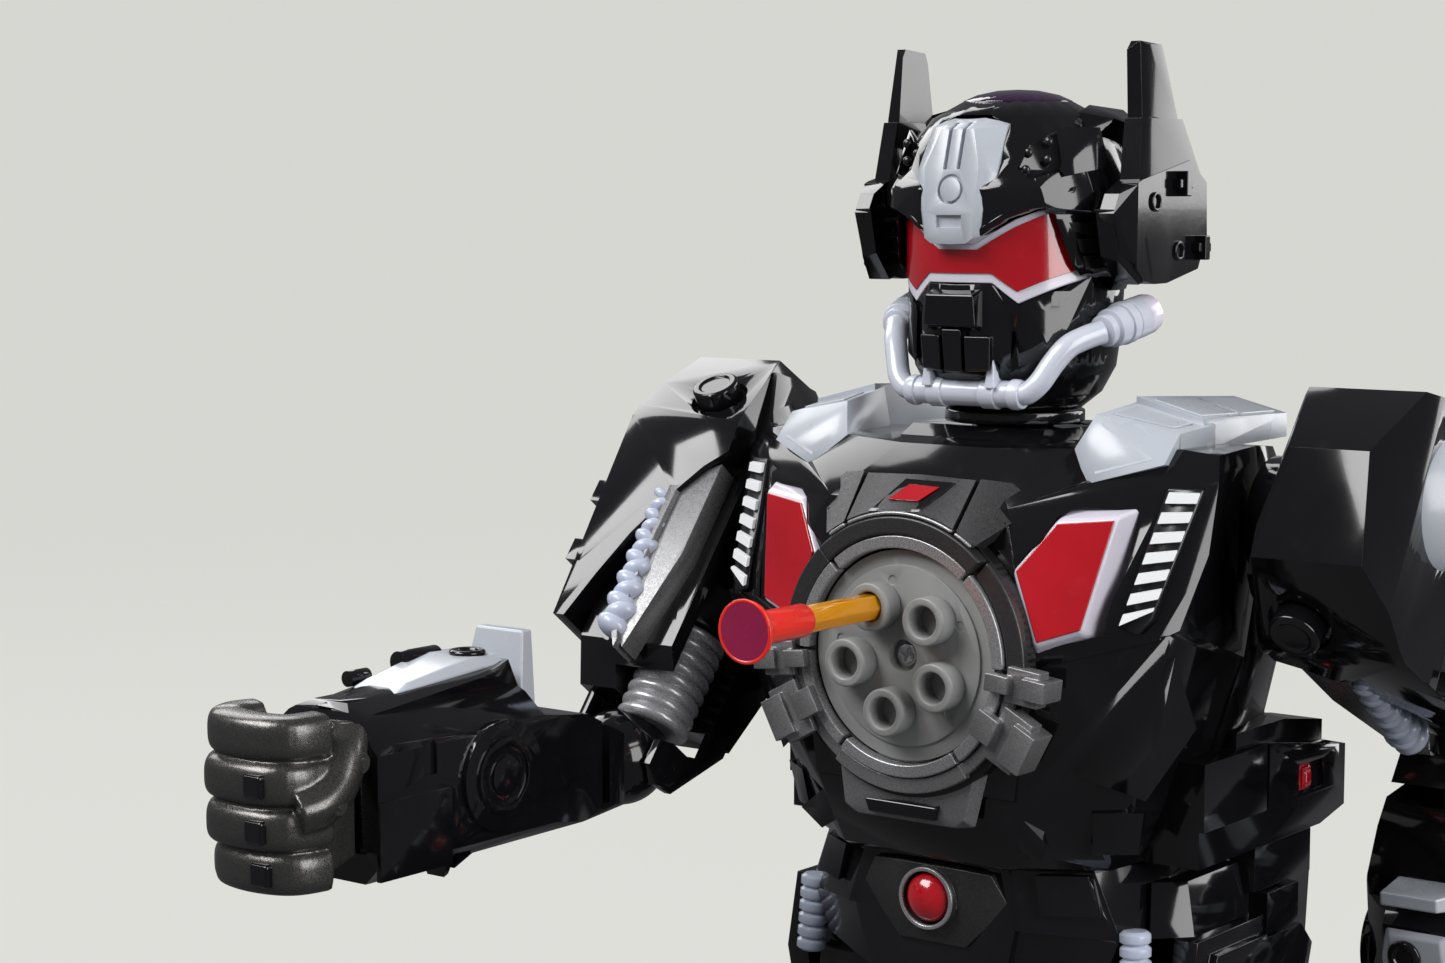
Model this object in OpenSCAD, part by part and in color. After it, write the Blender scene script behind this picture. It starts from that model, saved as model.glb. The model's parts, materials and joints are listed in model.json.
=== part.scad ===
// Battery walking robot toy with a five-barrel dart launcher in its chest.
// X is the robot's left, Y its back, Z up. The floor is Z = 0 and the hips turn
// about an axle above it. Each part is drawn where it sits on the built toy.

/* [Legs] */

// Height of the hip axle above the floor
hip_z = 150; // [140:1:165]
// Length of each foot from toe to heel
foot_len = 104; // [92:1:116]
// Height of the ankle pin above the floor
ankle_z = 24; // [22:1:26]

/* [Chest launcher] */

// Radius of the turning barrel plate
plate_r = 24; // [23:0.25:24.25]
// Radius of the circle the barrels stand on
barrel_pitch_r = 12.6; // [12:0.1:13]
// Outside radius of a barrel
barrel_r = 5.5; // [5:0.1:5.8]
// Bore radius of a barrel
bore_r = 3.5; // [3.4:0.05:3.8]
// How far the barrels stand out of the plate
barrel_len = 6; // [4:0.5:8]
// Length of the dart from tail to cup lip
dart_len = 51; // [46:0.5:58]

/* [Head] */

// Height of the tip of the ear fins above the shoulders
fin_top = 374.5; // [368:0.5:384]
// Radius of the turned helmet at its widest
helmet_r = 28; // [27.5:0.25:28.5]

/* [Arms] */

// Forward pitch of the right upper arm
right_pitch = 38; // [20:1:50]
// Forward pitch of the left upper arm
left_pitch = -60; // [-65:1:-40]
// Bend of both elbows
elbow_bend = 52; // [30:1:60]
// Distance from the elbow to the front of the cuff
forearm_len = 101; // [96:1:110]

/* [Fits] */

// Radial clearance of a running shaft in its bore
run_gap = 0.05; // [0.03:0.01:0.08]
// Gap between parts that turn past each other
move_gap = 0.4; // [0.3:0.05:0.6]
// Wall of the moulded shells
wall = 2.5; // [2:0.1:3]

/* [Hidden] */

$fn = 64;
up = hip_z - 150;          // everything above the hips rises with the axle
mid_y = 29.5;              // torso axis stands this far behind the middle of the footprint
hip_y = 12;                // legs hang below the middle of the torso
disc_z = 236.5;            // axis of the barrel plate
plate_y = -37.8;             // front face of the barrel plate
muzzle_y = plate_y - barrel_len;
seam_y = 10;               // torso halves meet here
waist_z = 188;             // swivel plane between pelvis and torso
swivel_r = 9;              // spigot the torso turns on
sh_y = 15;                 // shoulder axle
sh_z = 266.5;
elbow = [80, -6.5, -84];     // elbow axle in the upper arm's own frame
neck_y = 8;                // head and neck axis
dart_angle = 118;
gear_teeth = 24;
pinion_teeth = 12;
tooth_m = 1;
gear_gap = (gear_teeth + pinion_teeth) * tooth_m / 2 + 0.1;

black = [0.04, 0.04, 0.045];
charcoal = [0.2, 0.2, 0.21];
light_grey = [0.62, 0.62, 0.63];
pale = [0.8, 0.82, 0.86];
red = [0.75, 0.03, 0.04];
white = [0.92, 0.92, 0.93];
gunmetal = [0.25, 0.24, 0.23];

// ---------- helpers ----------

// 2D (y, z) outline drawn along X
module yz(x0, x1) { translate([x0, 0, 0]) rotate([90, 0, 90]) linear_extrude(x1 - x0) children(); }
// 2D (x, z) outline drawn along Y
module xz(y0, y1) { translate([0, y1, 0]) rotate([90, 0, 0]) linear_extrude(y1 - y0) children(); }
// 2D (x, y) outline drawn along Z
module xy(z0, z1) { translate([0, 0, z0]) linear_extrude(z1 - z0) children(); }
// box from corner to corner
module box(a, b) { translate(a) cube(b - a); }
// rod between two points
module rod(a, b, r) {
  v = b - a;
  l = norm(v);
  translate(a) rotate([0, acos(v[2] / l), atan2(v[1], v[0])]) cylinder(r = r, h = l);
}
module rod_y(x, z, r, y0, y1) { translate([x, y1, z]) rotate([90, 0, 0]) cylinder(r = r, h = y1 - y0); }
module rod_x(y, z, r, x0, x1) { translate([x0, y, z]) rotate([0, 90, 0]) cylinder(r = r, h = x1 - x0); }
// convex block through corner points
module block(p) { hull() polyhedron(points = p, faces = [[for (i = [0:len(p) - 1]) i]]); }
function both(p) = concat(p, [for (q = p) [-q[0], q[1], q[2]]]);
module pair() { children(); mirror([1, 0, 0]) children(); }
module side(s) { if (s < 0) mirror([1, 0, 0]) children(); else children(); }
module raised() { translate([0, mid_y, up]) children(); }
module leg(s) { translate([0, mid_y, 0]) side(s) children(); }
function ring_pt(r, a) = [r * cos(a), r * sin(a)];

// corrugated sleeve along Z, from z = 0 to h
module bellows(r0, r1, h, n, depth) {
  s = h / n;
  rotate_extrude() polygon(concat([[0, 0]],
    [for (i = [0:n - 1]) each [
      [r0 + (r1 - r0) * i / n - depth, i * s],
      [r0 + (r1 - r0) * (i + 0.3) / n, (i + 0.22) * s],
      [r0 + (r1 - r0) * (i + 0.7) / n, (i + 0.78) * s]]],
    [[r1 - depth, h], [0, h]]));
}

module gear2d(teeth, phase) {
  rp = teeth * tooth_m / 2;
  step = 360 / teeth;
  polygon([for (i = [0:teeth - 1]) each [
    ring_pt(rp - 1.1 * tooth_m, phase + (i - 0.3) * step),
    ring_pt(rp + 0.8 * tooth_m, phase + (i - 0.12) * step),
    ring_pt(rp + 0.8 * tooth_m, phase + (i + 0.12) * step),
    ring_pt(rp - 1.1 * tooth_m, phase + (i + 0.3) * step)]]);
}

// ---------- pelvis ----------

module waist_outline() {
  block(both([[20, -24, waist_z - 0.1], [36, -14, waist_z - 0.1], [44, 6, waist_z - 0.1], [44, 30, waist_z - 0.1],
    [24, -25, 174], [42, -12, 172], [48, 4, 172], [48, 30, 172]]));
}

module waist_front_shell() {
  color(black) raised() difference() {
    union() {
      waist_outline();
      // armoured apron in front of the thighs
      block(both([[22, -25, 174], [22, -19, 174], [16, -24, 150], [16, -19, 150], [8, -23, 142], [8, -19, 142]]));
      block(both([[22, -23, 174], [42, -13, 172], [40, -10, 172], [22, -19, 172],
        [20, -21, 158], [38, -13, 162], [36, -10, 162], [20, -18, 158]]));
      // keel that carries the axle
      box([-5, -19, 140], [5, 30, 173]);
      // rim steps at the swivel
      for (s = [-1, 1]) side(s)
        block([[26, -23.4, 187], [36, -17, 187], [36, -14.6, 187], [26, -20, 187],
          [28, -23.8, 178], [39, -16.4, 178], [38, -12, 178], [28, -20, 178]]);
      for (s = [-1, 1]) side(s) waist_step();
    }
    // hollow under the swivel plate
    box([-38, -8, 176], [38, 30.5, waist_z - wall]);
    // seat of the belly plate and the button well
    belly_plate_solid(0);
    rod_y(0, 178.8, 5.8 + move_gap, -30, -14);
    rod_x(hip_y, 150, 2.5, -60, 60);
    translate([0, seam_y, 180]) cylinder(r = swivel_r + 0.1, h = 12);
  }
}

module belly_plate_solid(extra) {
  block(both([[9, -27.5, 186.6], [9, -23.2, 186.6], [16, -26, 186], [16, -22, 186],
    [20, -24.4, 179], [20, -20, 179], [9, -25.6, 168], [9, -21.5, 168]]));
}

module belly_plate() {
  color(charcoal) raised() difference() {
    union() {
      belly_plate_solid(0);
      rod_y(0, 178.8, 7.4, -28.3, -23);
    }
    rod_y(0, 178.8, 5.8 + move_gap, -40, -10);
  }
}

module belly_button() {
  color(red) raised() union() {
    rod_y(0, 178.8, 5.8, -27.5, -17.6);
    translate([0, -27.5, 178.8]) rotate([90, 0, 0]) intersection() {
      translate([0, 0, -4]) sphere(r = 7.05);
      cylinder(r = 5.8, h = 10);
    }
  }
}

module waist_rear_shell() {
  color(black) raised() difference() {
    union() {
      block(both([[44, 30, waist_z - 0.1], [44, 62, waist_z - 0.1], [50, 30, 176], [50, 66, 176],
        [50, 30, 160], [50, 64, 156], [40, 30, 156], [40, 60, 150]]));
      box([-5, 30, 140], [5, 46, 158]);
      // stepped glossy panels beside the waist
      for (s = [-1, 1]) side(s) box([44, 31, 176.5], [53, 60, 187]);
      for (s = [-1, 1]) side(s) box([44, 34, 166], [55, 50, 176]);
    }
    box([-40, 29, 160], [40, 60, waist_z - wall]);
    for (s = [-1, 1]) side(s) rod_x(hip_y, 150, 19 + move_gap, 5.5, 47);
  }
}

module waist_hoses() {
  color(pale) raised() for (s = [-1, 1]) side(s) difference() {
    translate([45.4, -10.6, 155.6]) rotate([-2, -3, 0]) bellows(3.6, 3.6, 19, 6, 0.9, $fn = 32);
    waist_outline();
    waist_step();
  }
}

module waist_step() {
  block([[44, -2, 184], [50, 4, 184], [50, 28, 184], [44, 28, 184],
    [46, -6, 172], [53, 2, 172], [53, 28, 172], [46, 28, 172]]);
}

module hip_side_covers() {
  color(black) raised() for (s = [-1, 1]) side(s) difference() {
    union() {
      yz(50, 56) polygon([[-6, 154], [-2, 171.9], [30, 171.9], [30, 165.9], [50, 165.9], [56, 160], [50, 142], [20, 134], [-2, 138]]);
      yz(56, 58) polygon([[0, 156], [4, 168], [28, 168], [34, 160], [30, 146], [6, 144]]);
      rod_x(hip_y, 150, 7, 46.4, 50);
      rod_x(38, 154, 3, 56, 59.5);
      rod_x(46, 154, 2, 56, 58.5);
    }
    rod_x(hip_y, 150, 2.5, 40, 52);
  }
}

module walk_gearbox() {
  color(light_grey) raised() {
    box([-18, 34, 160], [18, 56, 178]);
    rod_x(46, 169, 8, 18, 36);
    rod_x(46, 169, 2.5, 36, 38);
    rod_x(42, 164, 3, -20, -18);
    // arm that carries the spigot the torso turns on
    box([-12, 0, 178], [12, 56, 181]);
    translate([0, seam_y, 178]) cylinder(r = swivel_r, h = waist_z + 4 - 178);
  }
}

module hip_axle() {
  color(light_grey) raised() rod_x(hip_y, 150, 2.5, -51.5, 51.5);
}

// ---------- torso ----------

module chest_upper() {
  block(both([[24, -33, 271], [31, -34, 236], [50, -29, 245], [58, -26, 244], [64, -11, 277], [64, -15, 262],
    [61, -22, 246], [12, -22, 283], [30, -16, 283.5], [54, -9, 284], [62, -7, 283], [62, seam_y, 284],
    [64, seam_y, 262], [60, seam_y, 236]]));
}

module chest_lower() {
  block(both([[31, -34, 240], [27, -33, 205], [22, -29.5, 189.5], [20, -28.5, waist_z + 0.4],
    [60, -25, 245], [61, seam_y, 246], [46, -14, 202], [48, seam_y, 200], [40, -14, waist_z + 0.4],
    [42, seam_y, waist_z + 0.4]]));
}

module torso_cavity() {
  block(both([[52, -4, 277], [30, -10, 277], [56, 0, 250], [32, -27, 250], [28, -27, 212], [34, -8, 194],
    [36, 40, 194], [54, 41, 240], [50, 41, 276]]));
}

module light_solid(s) {
  side(s) block([[47.1, -26.3, 269.4], [34.7, -29.6, 268.1], [27.4, -34.9, 257.6], [33.1, -35.4, 242.2], [45.5, -32.4, 246.5],
    [50.5, -22.6, 272], [33, -27, 271.4], [25.2, -31.4, 258.4], [32.4, -31.6, 240], [48.2, -27.6, 243.4],
    [49, -18, 270], [34, -23, 270], [28, -28, 257], [33.6, -28, 241.5], [46.5, -24, 244.5]]);
}

module stripe_solid(s) {
  side(s) block([[54.6, -16.6, 276.2], [61.6, -13.2, 276], [57.2, -27.2, 248.6], [50.4, -30.1, 246.6], [54.5, -28.6, 245.2],
    [54.6, -12, 276], [61.6, -8, 276], [57.2, -23, 248.6], [50.4, -25, 246.6], [54.5, -24, 245.4]]);
}

module shoulder_pad_solid(s) {
  side(s) {
    // front lip, top slab and the raised rear step
    block([[37.5, -22.4, 276.4], [52.9, -15.4, 281], [31, -16.6, 283.4], [34, -12.4, 291], [53.1, -8.6, 287.4],
      [37.8, -12, 277], [52, -7, 280], [32, -8, 283]]);
    block([[34, -12.4, 291], [53.1, -8.6, 287.4], [54, 6, 288.6], [36, 6, 293.4], [32, -8, 283], [53, -8, 283],
      [54, 6, 283], [34, 6, 283]]);
    block([[36, 2, 294.4], [53, 2, 290], [51, 47, 288.6], [37, 47, 292], [36, 2, 283], [54, 2, 283],
      [51, 47, 283], [37, 47, 283]]);
  }
}

module swivel_hole() { translate([0, seam_y, waist_z - 2]) cylinder(r = swivel_r + 2 * run_gap, h = 12); }

module chest_frame_back() {
  // central plane the launcher frame sits on
  block(both([[24, -34, 268], [31, -34, 237], [27, -34, 206], [24, -30, 270], [30, -30, 237], [26, -30, 204]]));
}

module torso_front_shell() {
  color(black) raised() difference() {
    union() {
      chest_upper();
      chest_lower();
      chest_frame_back();
      // collar in front of the neck
      block(both([[20, -14, 282], [24, -4, 283], [24, seam_y, 283], [18, -8, 286.4], [20, seam_y, 286.4]]));
      // raised facets on the flanks
      for (s = [-1, 1]) side(s) {
        block([[44, -27, 240], [60, -22, 240], [58, -8, 222], [50, -16, 206], [40, -27.4, 212], [34, -28, 216], [50, -10, 230]]);
        block([[24, -31, 204], [34, -30.4, 196], [30, -27.6, 191], [20, -30, 197], [28, -24, 200], [26, -24, 194]]);
        block([[40, -22, 203], [49, -15, 203], [47, -13.5, 193], [39, -20, 193], [40, -14, 202], [46, -8, 202], [40, -12, 194]]);
      }
    }
    torso_cavity();
    for (s = [-1, 1]) {
      light_solid(s);
      stripe_solid(s);
      shoulder_pad_solid(s);
    }
    rod_y(0, disc_z, 6, -40, -33);
    swivel_hole();
    rod_y(0, disc_z, 4 + move_gap, -40, 0);
    translate([0, neck_y, 270]) cylinder(r = 9 + move_gap, h = 30);
    translate([0, neck_y, 270]) cylinder(r = 13.5, h = 13.2);
    rod_x(sh_y, sh_z, 5 + move_gap, -70, 70);
    rod_x(sh_y, sh_z, 9.5, -57.5, 57.5);
    box([-80, seam_y, 150], [80, 80, 320]);
  }
}

module torso_back_solid() {
  block(both([[62, seam_y, 284], [64, seam_y, 262], [60, seam_y, 236], [48, seam_y, 200], [42, seam_y, waist_z + 0.4],
    [50, 42, 281], [54, 45, 268], [54, 45, 244], [44, 45, 202], [40, 44, waist_z + 0.4]]));
}

module torso_back_shell() {
  color(black) raised() difference() {
    union() {
      torso_back_solid();
      block(both([[20, seam_y, 286.4], [24, seam_y, 283], [22, 26, 283], [16, 24, 286.4]]));
      // vertical ribs either side of the backpack
      for (s = [-1, 1], z = [248, 256, 264]) side(s) box([40.5, 40, z], [50, 47, z + 4]);
    }
    torso_cavity();
    swivel_hole();
    for (s = [-1, 1]) shoulder_pad_solid(s);
    translate([0, neck_y, 270]) cylinder(r = 9 + move_gap, h = 30);
    translate([0, neck_y, 270]) cylinder(r = 13.5, h = 13.2);
    rod_x(sh_y, sh_z, 5 + move_gap, -70, 70);
    rod_x(sh_y, sh_z, 9.5, -57.5, 57.5);
  }
}

module collar_segments() {
  for (a = [0:60:300]) translate([0, 0, disc_z]) rotate([0, a + 30, 0])
    xz(-39.2, -37) polygon([for (t = [-22:11:22]) ring_pt(31.6, t), for (t = [22:-11:-22]) ring_pt(28.4, t)]);
}

module chest_frame() {
  color(charcoal) raised() difference() {
    union() {
      rod_y(0, disc_z, 32.5, -37, -34);
      rod_y(0, disc_z, 27.4, -40.4, -37);
      // six raised segments round the collar
      collar_segments();
      // hood over the ring
      block(both([[18, -36.5, 262], [13, -41, 266.4], [8, -31, 281.6], [16, -27, 280], [18, -34, 262], [12, -34, 262], [22, -34, 266],
        [20, -32, 270]]));
      // lower trapezoid and its bar
      block(both([[19, -36.6, 212.7], [16, -37.4, 200], [13, -34, 198.6], [17, -34, 199], [20, -34, 213]]));
      box([-9.6, -39, 199.8], [9.6, -36, 203.4]);
    }
    rod_y(0, disc_z, plate_r + move_gap, -60, -34.6);
    rod_y(0, disc_z, 6, -60, -20);
    badge_solid();
    // flat lower edge of the bracket
    box([-30, -60, 100], [30, -20, 198]);
    chest_shell_clear();
  }
}

module chest_shell_clear() {
  difference() {
    union() { chest_upper(); chest_lower(); chest_frame_back(); }
    box([-80, -90, 150], [80, -33.9, 260]);
  }
}

module badge_solid() {
  block([[-8.5, -37.6, 270.4], [6.5, -37.6, 270.4], [8.5, -34.4, 277.2], [-6.5, -34.4, 277.2],
    [-8.5, -34, 269.6], [6.5, -34, 269.6], [8.5, -31.6, 276.4], [-6.5, -31.6, 276.4]]);
}

module chest_badge() { color(red) raised() difference() { badge_solid(); chest_shell_clear(); } }

module clamp_at(a, w) {
  translate([0, 0, disc_z]) rotate([0, a, 0]) {
    box([29, -41, -w / 2], [37.4, -37, w / 2]);
    box([33.5, -42.4, -w / 2 + 1.6], [39.6, -34.6, w / 2 - 1.6]);
    box([24.6, -43, -w / 4], [30.5, -40.4, w / 4]);
  }
}

module chest_clamps() {
  color(charcoal) raised() difference() {
    union() {
      clamp_at(28, 13);
      clamp_at(152, 13);
      clamp_at(6, 8);
      clamp_at(174, 8);
    }
    union() { chest_upper(); chest_lower(); chest_frame_back(); }
    for (s = [-1, 1]) light_solid(s);
    rod_y(0, disc_z, 32.5, -37, -34);
    rod_y(0, disc_z, 27.4, -40.4, -37);
    collar_segments();
    rod_y(0, disc_z, plate_r + move_gap, -60, -34.6);
  }
}

module chest_lights() {
  color(red) raised() difference() {
    for (s = [-1, 1]) light_solid(s);
    torso_cavity();
    rod_y(0, disc_z, 32.5, -37, -34);
    rod_y(0, disc_z, 27.4, -40.4, -37);
    collar_segments();
  }
}

module stripe_panels() { color(white) raised() difference() { for (s = [-1, 1]) stripe_solid(s); torso_cavity(); } }

module shoulder_pads() {
  color(pale) raised() difference() {
    for (s = [-1, 1]) shoulder_pad_solid(s);
    torso_cavity();
  }
}

module backpack_cover() {
  color(black) raised() {
    difference() {
      union() {
        block(both([[36, 44.9, 276], [33, 68, 270], [36, 68, 262], [40, 44.9, 262], [40, 44.9, 204], [36, 68, 208],
          [34, 44.9, 196], [32, 66, 200]]));
      }
      box([-32, 46.9, 206], [32, 65.6, 268]);
      box([-31.4, 60, 209], [31.4, 70, 265]);
      box([-34, 66, 206.6], [34, 70, 267.4]);
      torso_back_solid();
    }
    // stepped glossy boxes under the arms
    difference() {
      for (s = [-1, 1]) side(s) {
        yz(42, 56.4) polygon([[-3, 188.8], [58, 188.8], [71, 191.5], [71, 206.5], [60, 209], [-3, 209]]);
        yz(42, 57.6) polygon([[-3, 197.4], [65, 197.4], [65, 207.4], [28, 213], [-3, 213]]);
        yz(42, 55.4) polygon([[16, 205], [60, 205], [60, 214], [40, 217], [16, 217]]);
        box([36, 40, 189], [50, 66, 207]);
      }
      torso_back_solid();
      chest_lower();
      chest_upper();
      block(both([[40, 44.9, 262], [40, 44.9, 204], [36, 68, 208], [34, 44.9, 196], [32, 66, 200], [36, 68, 262]]));
      for (s = [-1, 1]) side(s) box([44.5, 18, 187], [52.4, 58, 206]);
      for (s = [-1, 1]) side(s) box([56.8, 27.4, 197.4], [60, 28.6, 214]);
      box([55.8, 44, 198.6], [60, 57, 205.4]);
    }
  }
}

module batteries() {
  color([0.75, 0.62, 0.2]) raised() for (i = [-1.5, -0.5, 0.5, 1.5]) translate([i * 15.2, 54.4, 0]) {
    translate([0, 0, 206.2]) cylinder(r = 7.25, h = 49.2);
    translate([0, 0, 255.4]) cylinder(r = 2.75, h = 1.3);
  }
}

module battery_door() {
  color(black) raised() difference() {
    union() {
      box([-33.4, 66.2, 207.2], [33.4, 68.2, 266.8]);
      for (z = [220:8:252]) box([-20, 68.2, z], [20, 69, z + 4]);
      box([-6, 68.2, 259], [6, 69.4, 263]);
    }
    rod_y(0, 212, 1.2, 60, 72);
  }
}

module power_switch() {
  color(red) raised() {
    box([55.8 + move_gap / 2, 44.3, 198.9], [57, 50.8, 205.1]);
    box([57, 45.3, 199.6], [57.8, 49.8, 204.4]);
    box([57.8, 46.3, 200.4], [58.4, 48.8, 203.6]);
  }
}

module circuit_board() {
  color([0.05, 0.3, 0.12]) raised() {
    box([-30, 38, 210], [30, 39.6, 262]);
    for (x = [-18, 0, 16]) box([x - 4, 35.6, 226], [x + 4, 38, 236]);
    rod_y(-20, 250, 3, 32, 38);
    rod_y(20, 250, 3, 32, 38);
    for (s = [-1, 1]) rod_y(s * 26, 214, 2, 39.6, 40.35);
    for (s = [-1, 1]) rod_y(s * 26, 258, 2, 39.6, 40.95);
  }
}

module speaker() {
  color([0.25, 0.25, 0.26]) raised() translate([0, 22, 194]) {
    difference() {
      cylinder(r1 = 17.5, r2 = 17.5, h = 4);
      translate([0, 0, 2.5]) cylinder(r = 14, h = 4);
    }
    cylinder(r = 8, h = 9);
  }
}

module spin_motor() {
  color(light_grey) raised() {
    rod_y(0, disc_z - gear_gap, 10, -15, 12);
    rod_y(0, disc_z - gear_gap, 1.5, -24, -15);
    xz(-17, -15) square_plate();
    for (s = [-1, 1]) box([s * 13 - 2, -26.95, 213], [s * 13 + 2, -17, 218]);
  }
}
module square_plate() { translate([-15, 209]) square([30, 14]); }

module spin_pinion() {
  color(white) raised() translate([0, 0, disc_z - gear_gap]) xz(-23.5, -19)
    difference() {
      gear2d(pinion_teeth, 90 + 180 / pinion_teeth);
      circle(r = 1.5 + run_gap);
    }
}

module barrel_gear() {
  color(white) raised() translate([0, 0, disc_z]) xz(-24, -19)
    difference() {
      gear2d(gear_teeth, -90);
      circle(r = 4);
    }
}

module barrel_plate() {
  color(light_grey) raised() difference() {
    union() {
      rod_y(0, disc_z, plate_r, plate_y, plate_y + 2.8);
      rod_y(0, disc_z, plate_r - 3.4, plate_y - 0.6, plate_y);
      rod_y(0, disc_z, 5.6, plate_y + 2.8, plate_y + 4.2);
      rod_y(0, disc_z, 4, plate_y + 4.2, -17);
    }
    // deep screw well
    rod_y(0, disc_z, 3.7, plate_y - 5, plate_y + 2.4);
    rod_y(0, disc_z, 1.4, plate_y - 5, plate_y + 12);
    for (i = [0:4]) translate([0, 0, disc_z]) rotate([0, 44 - 72 * i, 0])
      rod_y(barrel_pitch_r + 4.6, 0, 1.1, plate_y - 2, plate_y - 0.3);
  }
}

module barrel_at(i) { translate([0, 0, disc_z]) rotate([0, -(dart_angle - 72 * i), 0]) translate([barrel_pitch_r, 0, 0]) children(); }

module barrel_tubes() {
  color(light_grey) raised() for (i = [0:4]) barrel_at(i) difference() {
    rod_y(0, 0, barrel_r, muzzle_y, plate_y - 0.6);
    rod_y(0, 0, bore_r, muzzle_y - 1, plate_y);
  }
}

module barrel_screw() {
  color([0.75, 0.76, 0.78]) raised() difference() {
    union() {
      rod_y(0, disc_z, 2.5, plate_y + 1, plate_y + 2.4);
      rod_y(0, disc_z, 1.4, plate_y + 2.4, plate_y + 11);
    }
    for (a = [20, 110]) translate([0, 0, disc_z]) rotate([0, a, 0]) box([-1.7, plate_y, -0.35], [1.7, plate_y + 1.8, 0.35]);
  }
}

dart_tail = plate_y - 0.8;
dart_lip = dart_tail - dart_len;

module dart_shaft() {
  color([0.9, 0.55, 0.05]) raised() barrel_at(0) translate([0, dart_tail, 0]) rotate([90, 0, 0])
    linear_extrude(dart_len - 21) circle(r = bore_r - 0.25, $fn = 6);
}

module dart_cup() {
  color(red) raised() barrel_at(0) translate([0, dart_lip, 0]) rotate([-90, 0, 0])
    rotate_extrude() polygon([[0, 3.5], [2.6, 2.8], [4.8, 1.4], [6.6, 0], [7.1, 0.2], [6.7, 1.6], [5.4, 3.6], [4.1, 5.2],
      [3.7, 7.5], [3.7, 21], [0, 21]]);
}

// ---------- head ----------

module neck_post() {
  color(black) raised() translate([0, neck_y, 0]) {
    translate([0, 0, 277.4]) cylinder(r = 13, h = 5.8 - move_gap);
    translate([0, 0, 280]) cylinder(r = 9, h = 7);
    translate([0, 0, 286.4 + move_gap]) cylinder(r = 16.5, h = 3.4 - move_gap);
  }
}

module helmet_turned(r, t) {
  translate([0, neck_y, 0]) rotate_extrude() polygon([
    [t, 363.2 - t], [12 - t / 2, 361.8 - t], [20 - t, 357.4 - t], [r - 3.4 - t, 351 - t * 0.6], [r - 1 - t, 343],
    [r - t, 335], [r - 0.4 - t, 324], [r - 2.4 - t, 318], [0, 318], [0, 363.2 - t]]);
}

module brow_window() {
  // open face between the brow and the chin
  xz(-60, neck_y) polygon(concat([[0, 300], [34, 300], [34, 320.4], [24.2, 321.4], [20.9, 337], [17.8, 336.4], [12.8, 334.3], [4.7, 328.8], [0, 328.6]],
    [[-4.7, 328.8], [-12.8, 334.3], [-17.8, 336.4], [-20.9, 337], [-24.2, 321.4], [-34, 320.4], [-34, 300]]));
}

module crest_solid() {
  block(both([[4.4, -17.6, 354.6], [4, -11, 358], [7.2, -20, 346], [6.6, -21.3, 336], [6.4, -21.3, 330], [5.2, -21.3, 328.6],
    [10, -12.4, 355.3], [10.8, -18, 344.6], [8, -18.8, 332.4], [8.6, -6, 357.2], [8, -12, 330], [5, -14, 328.6], [5, -4, 352]]));
}

module helmet_shell() {
  color(black) raised() difference() {
    union() {
      difference() {
        helmet_turned(helmet_r, 0);
        helmet_turned(helmet_r, 2.6);
      }
      // brow ridge that carries the crest
      intersection() {
        block(both([[0, -20.6, 341], [9, -20.2, 341], [20, -15, 341], [27.6, 0, 340], [0, -19.6, 330], [9, -19.4, 332], [20, -15.4, 337],
          [28.4, -2, 336], [0, -14, 352], [14, -12, 351], [22, -4, 351], [0, -10, 332], [20, 4, 340]]));
        translate([0, neck_y, 300]) cylinder(r = helmet_r + 2.2, h = 80);
      }
      // raised cheeks of the side armour
      for (s = [-1, 1]) side(s) {
        block([[21, -6, 355], [25.6, 2, 355], [27, 4, 346], [23, -9, 344], [17, -10, 352], [22, 0, 350], [24, 6, 350]]);
        block([[20, 2, 358.5], [26, 8, 357], [26, 22, 355], [20, 22, 359.5], [22, 4, 352], [24, 20, 350], [18, 10, 360.4]]);
      }
    }
    brow_window();
    crest_solid();
    visor_band(0.2);
    for (s = [-1, 1]) side(s) {
      box([27, -40, 300], [60, 60, 400]);
      // riveted pocket
      block([[16, -13.4, 351], [20.6, -8.4, 353.6], [22.4, -8.6, 345], [17.6, -15.6, 343], [14.6, -16.2, 345.4],
        [15, -10.6, 351], [19.4, -6.8, 353], [20.6, -6.6, 345.6], [16.4, -12.6, 344], [13.8, -13.2, 346]]);
    }
    translate([0, neck_y, 350]) cylinder(r = 13.1, h = 20);
  }
}

module dome_lens() {
  color([0.1, 0.03, 0.12, 0.8]) raised() translate([0, neck_y, 0]) rotate_extrude()
    polygon([[0, 359], [9, 358.4], [13, 356.6], [13, 361.4], [9.6, 362.9], [5, 363.9], [0, 364.2]]);
}

module mouth_bar(e) { rod_x(-13.2, 294.6, 3.2 + e, -15.4, 15.4); }

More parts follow.
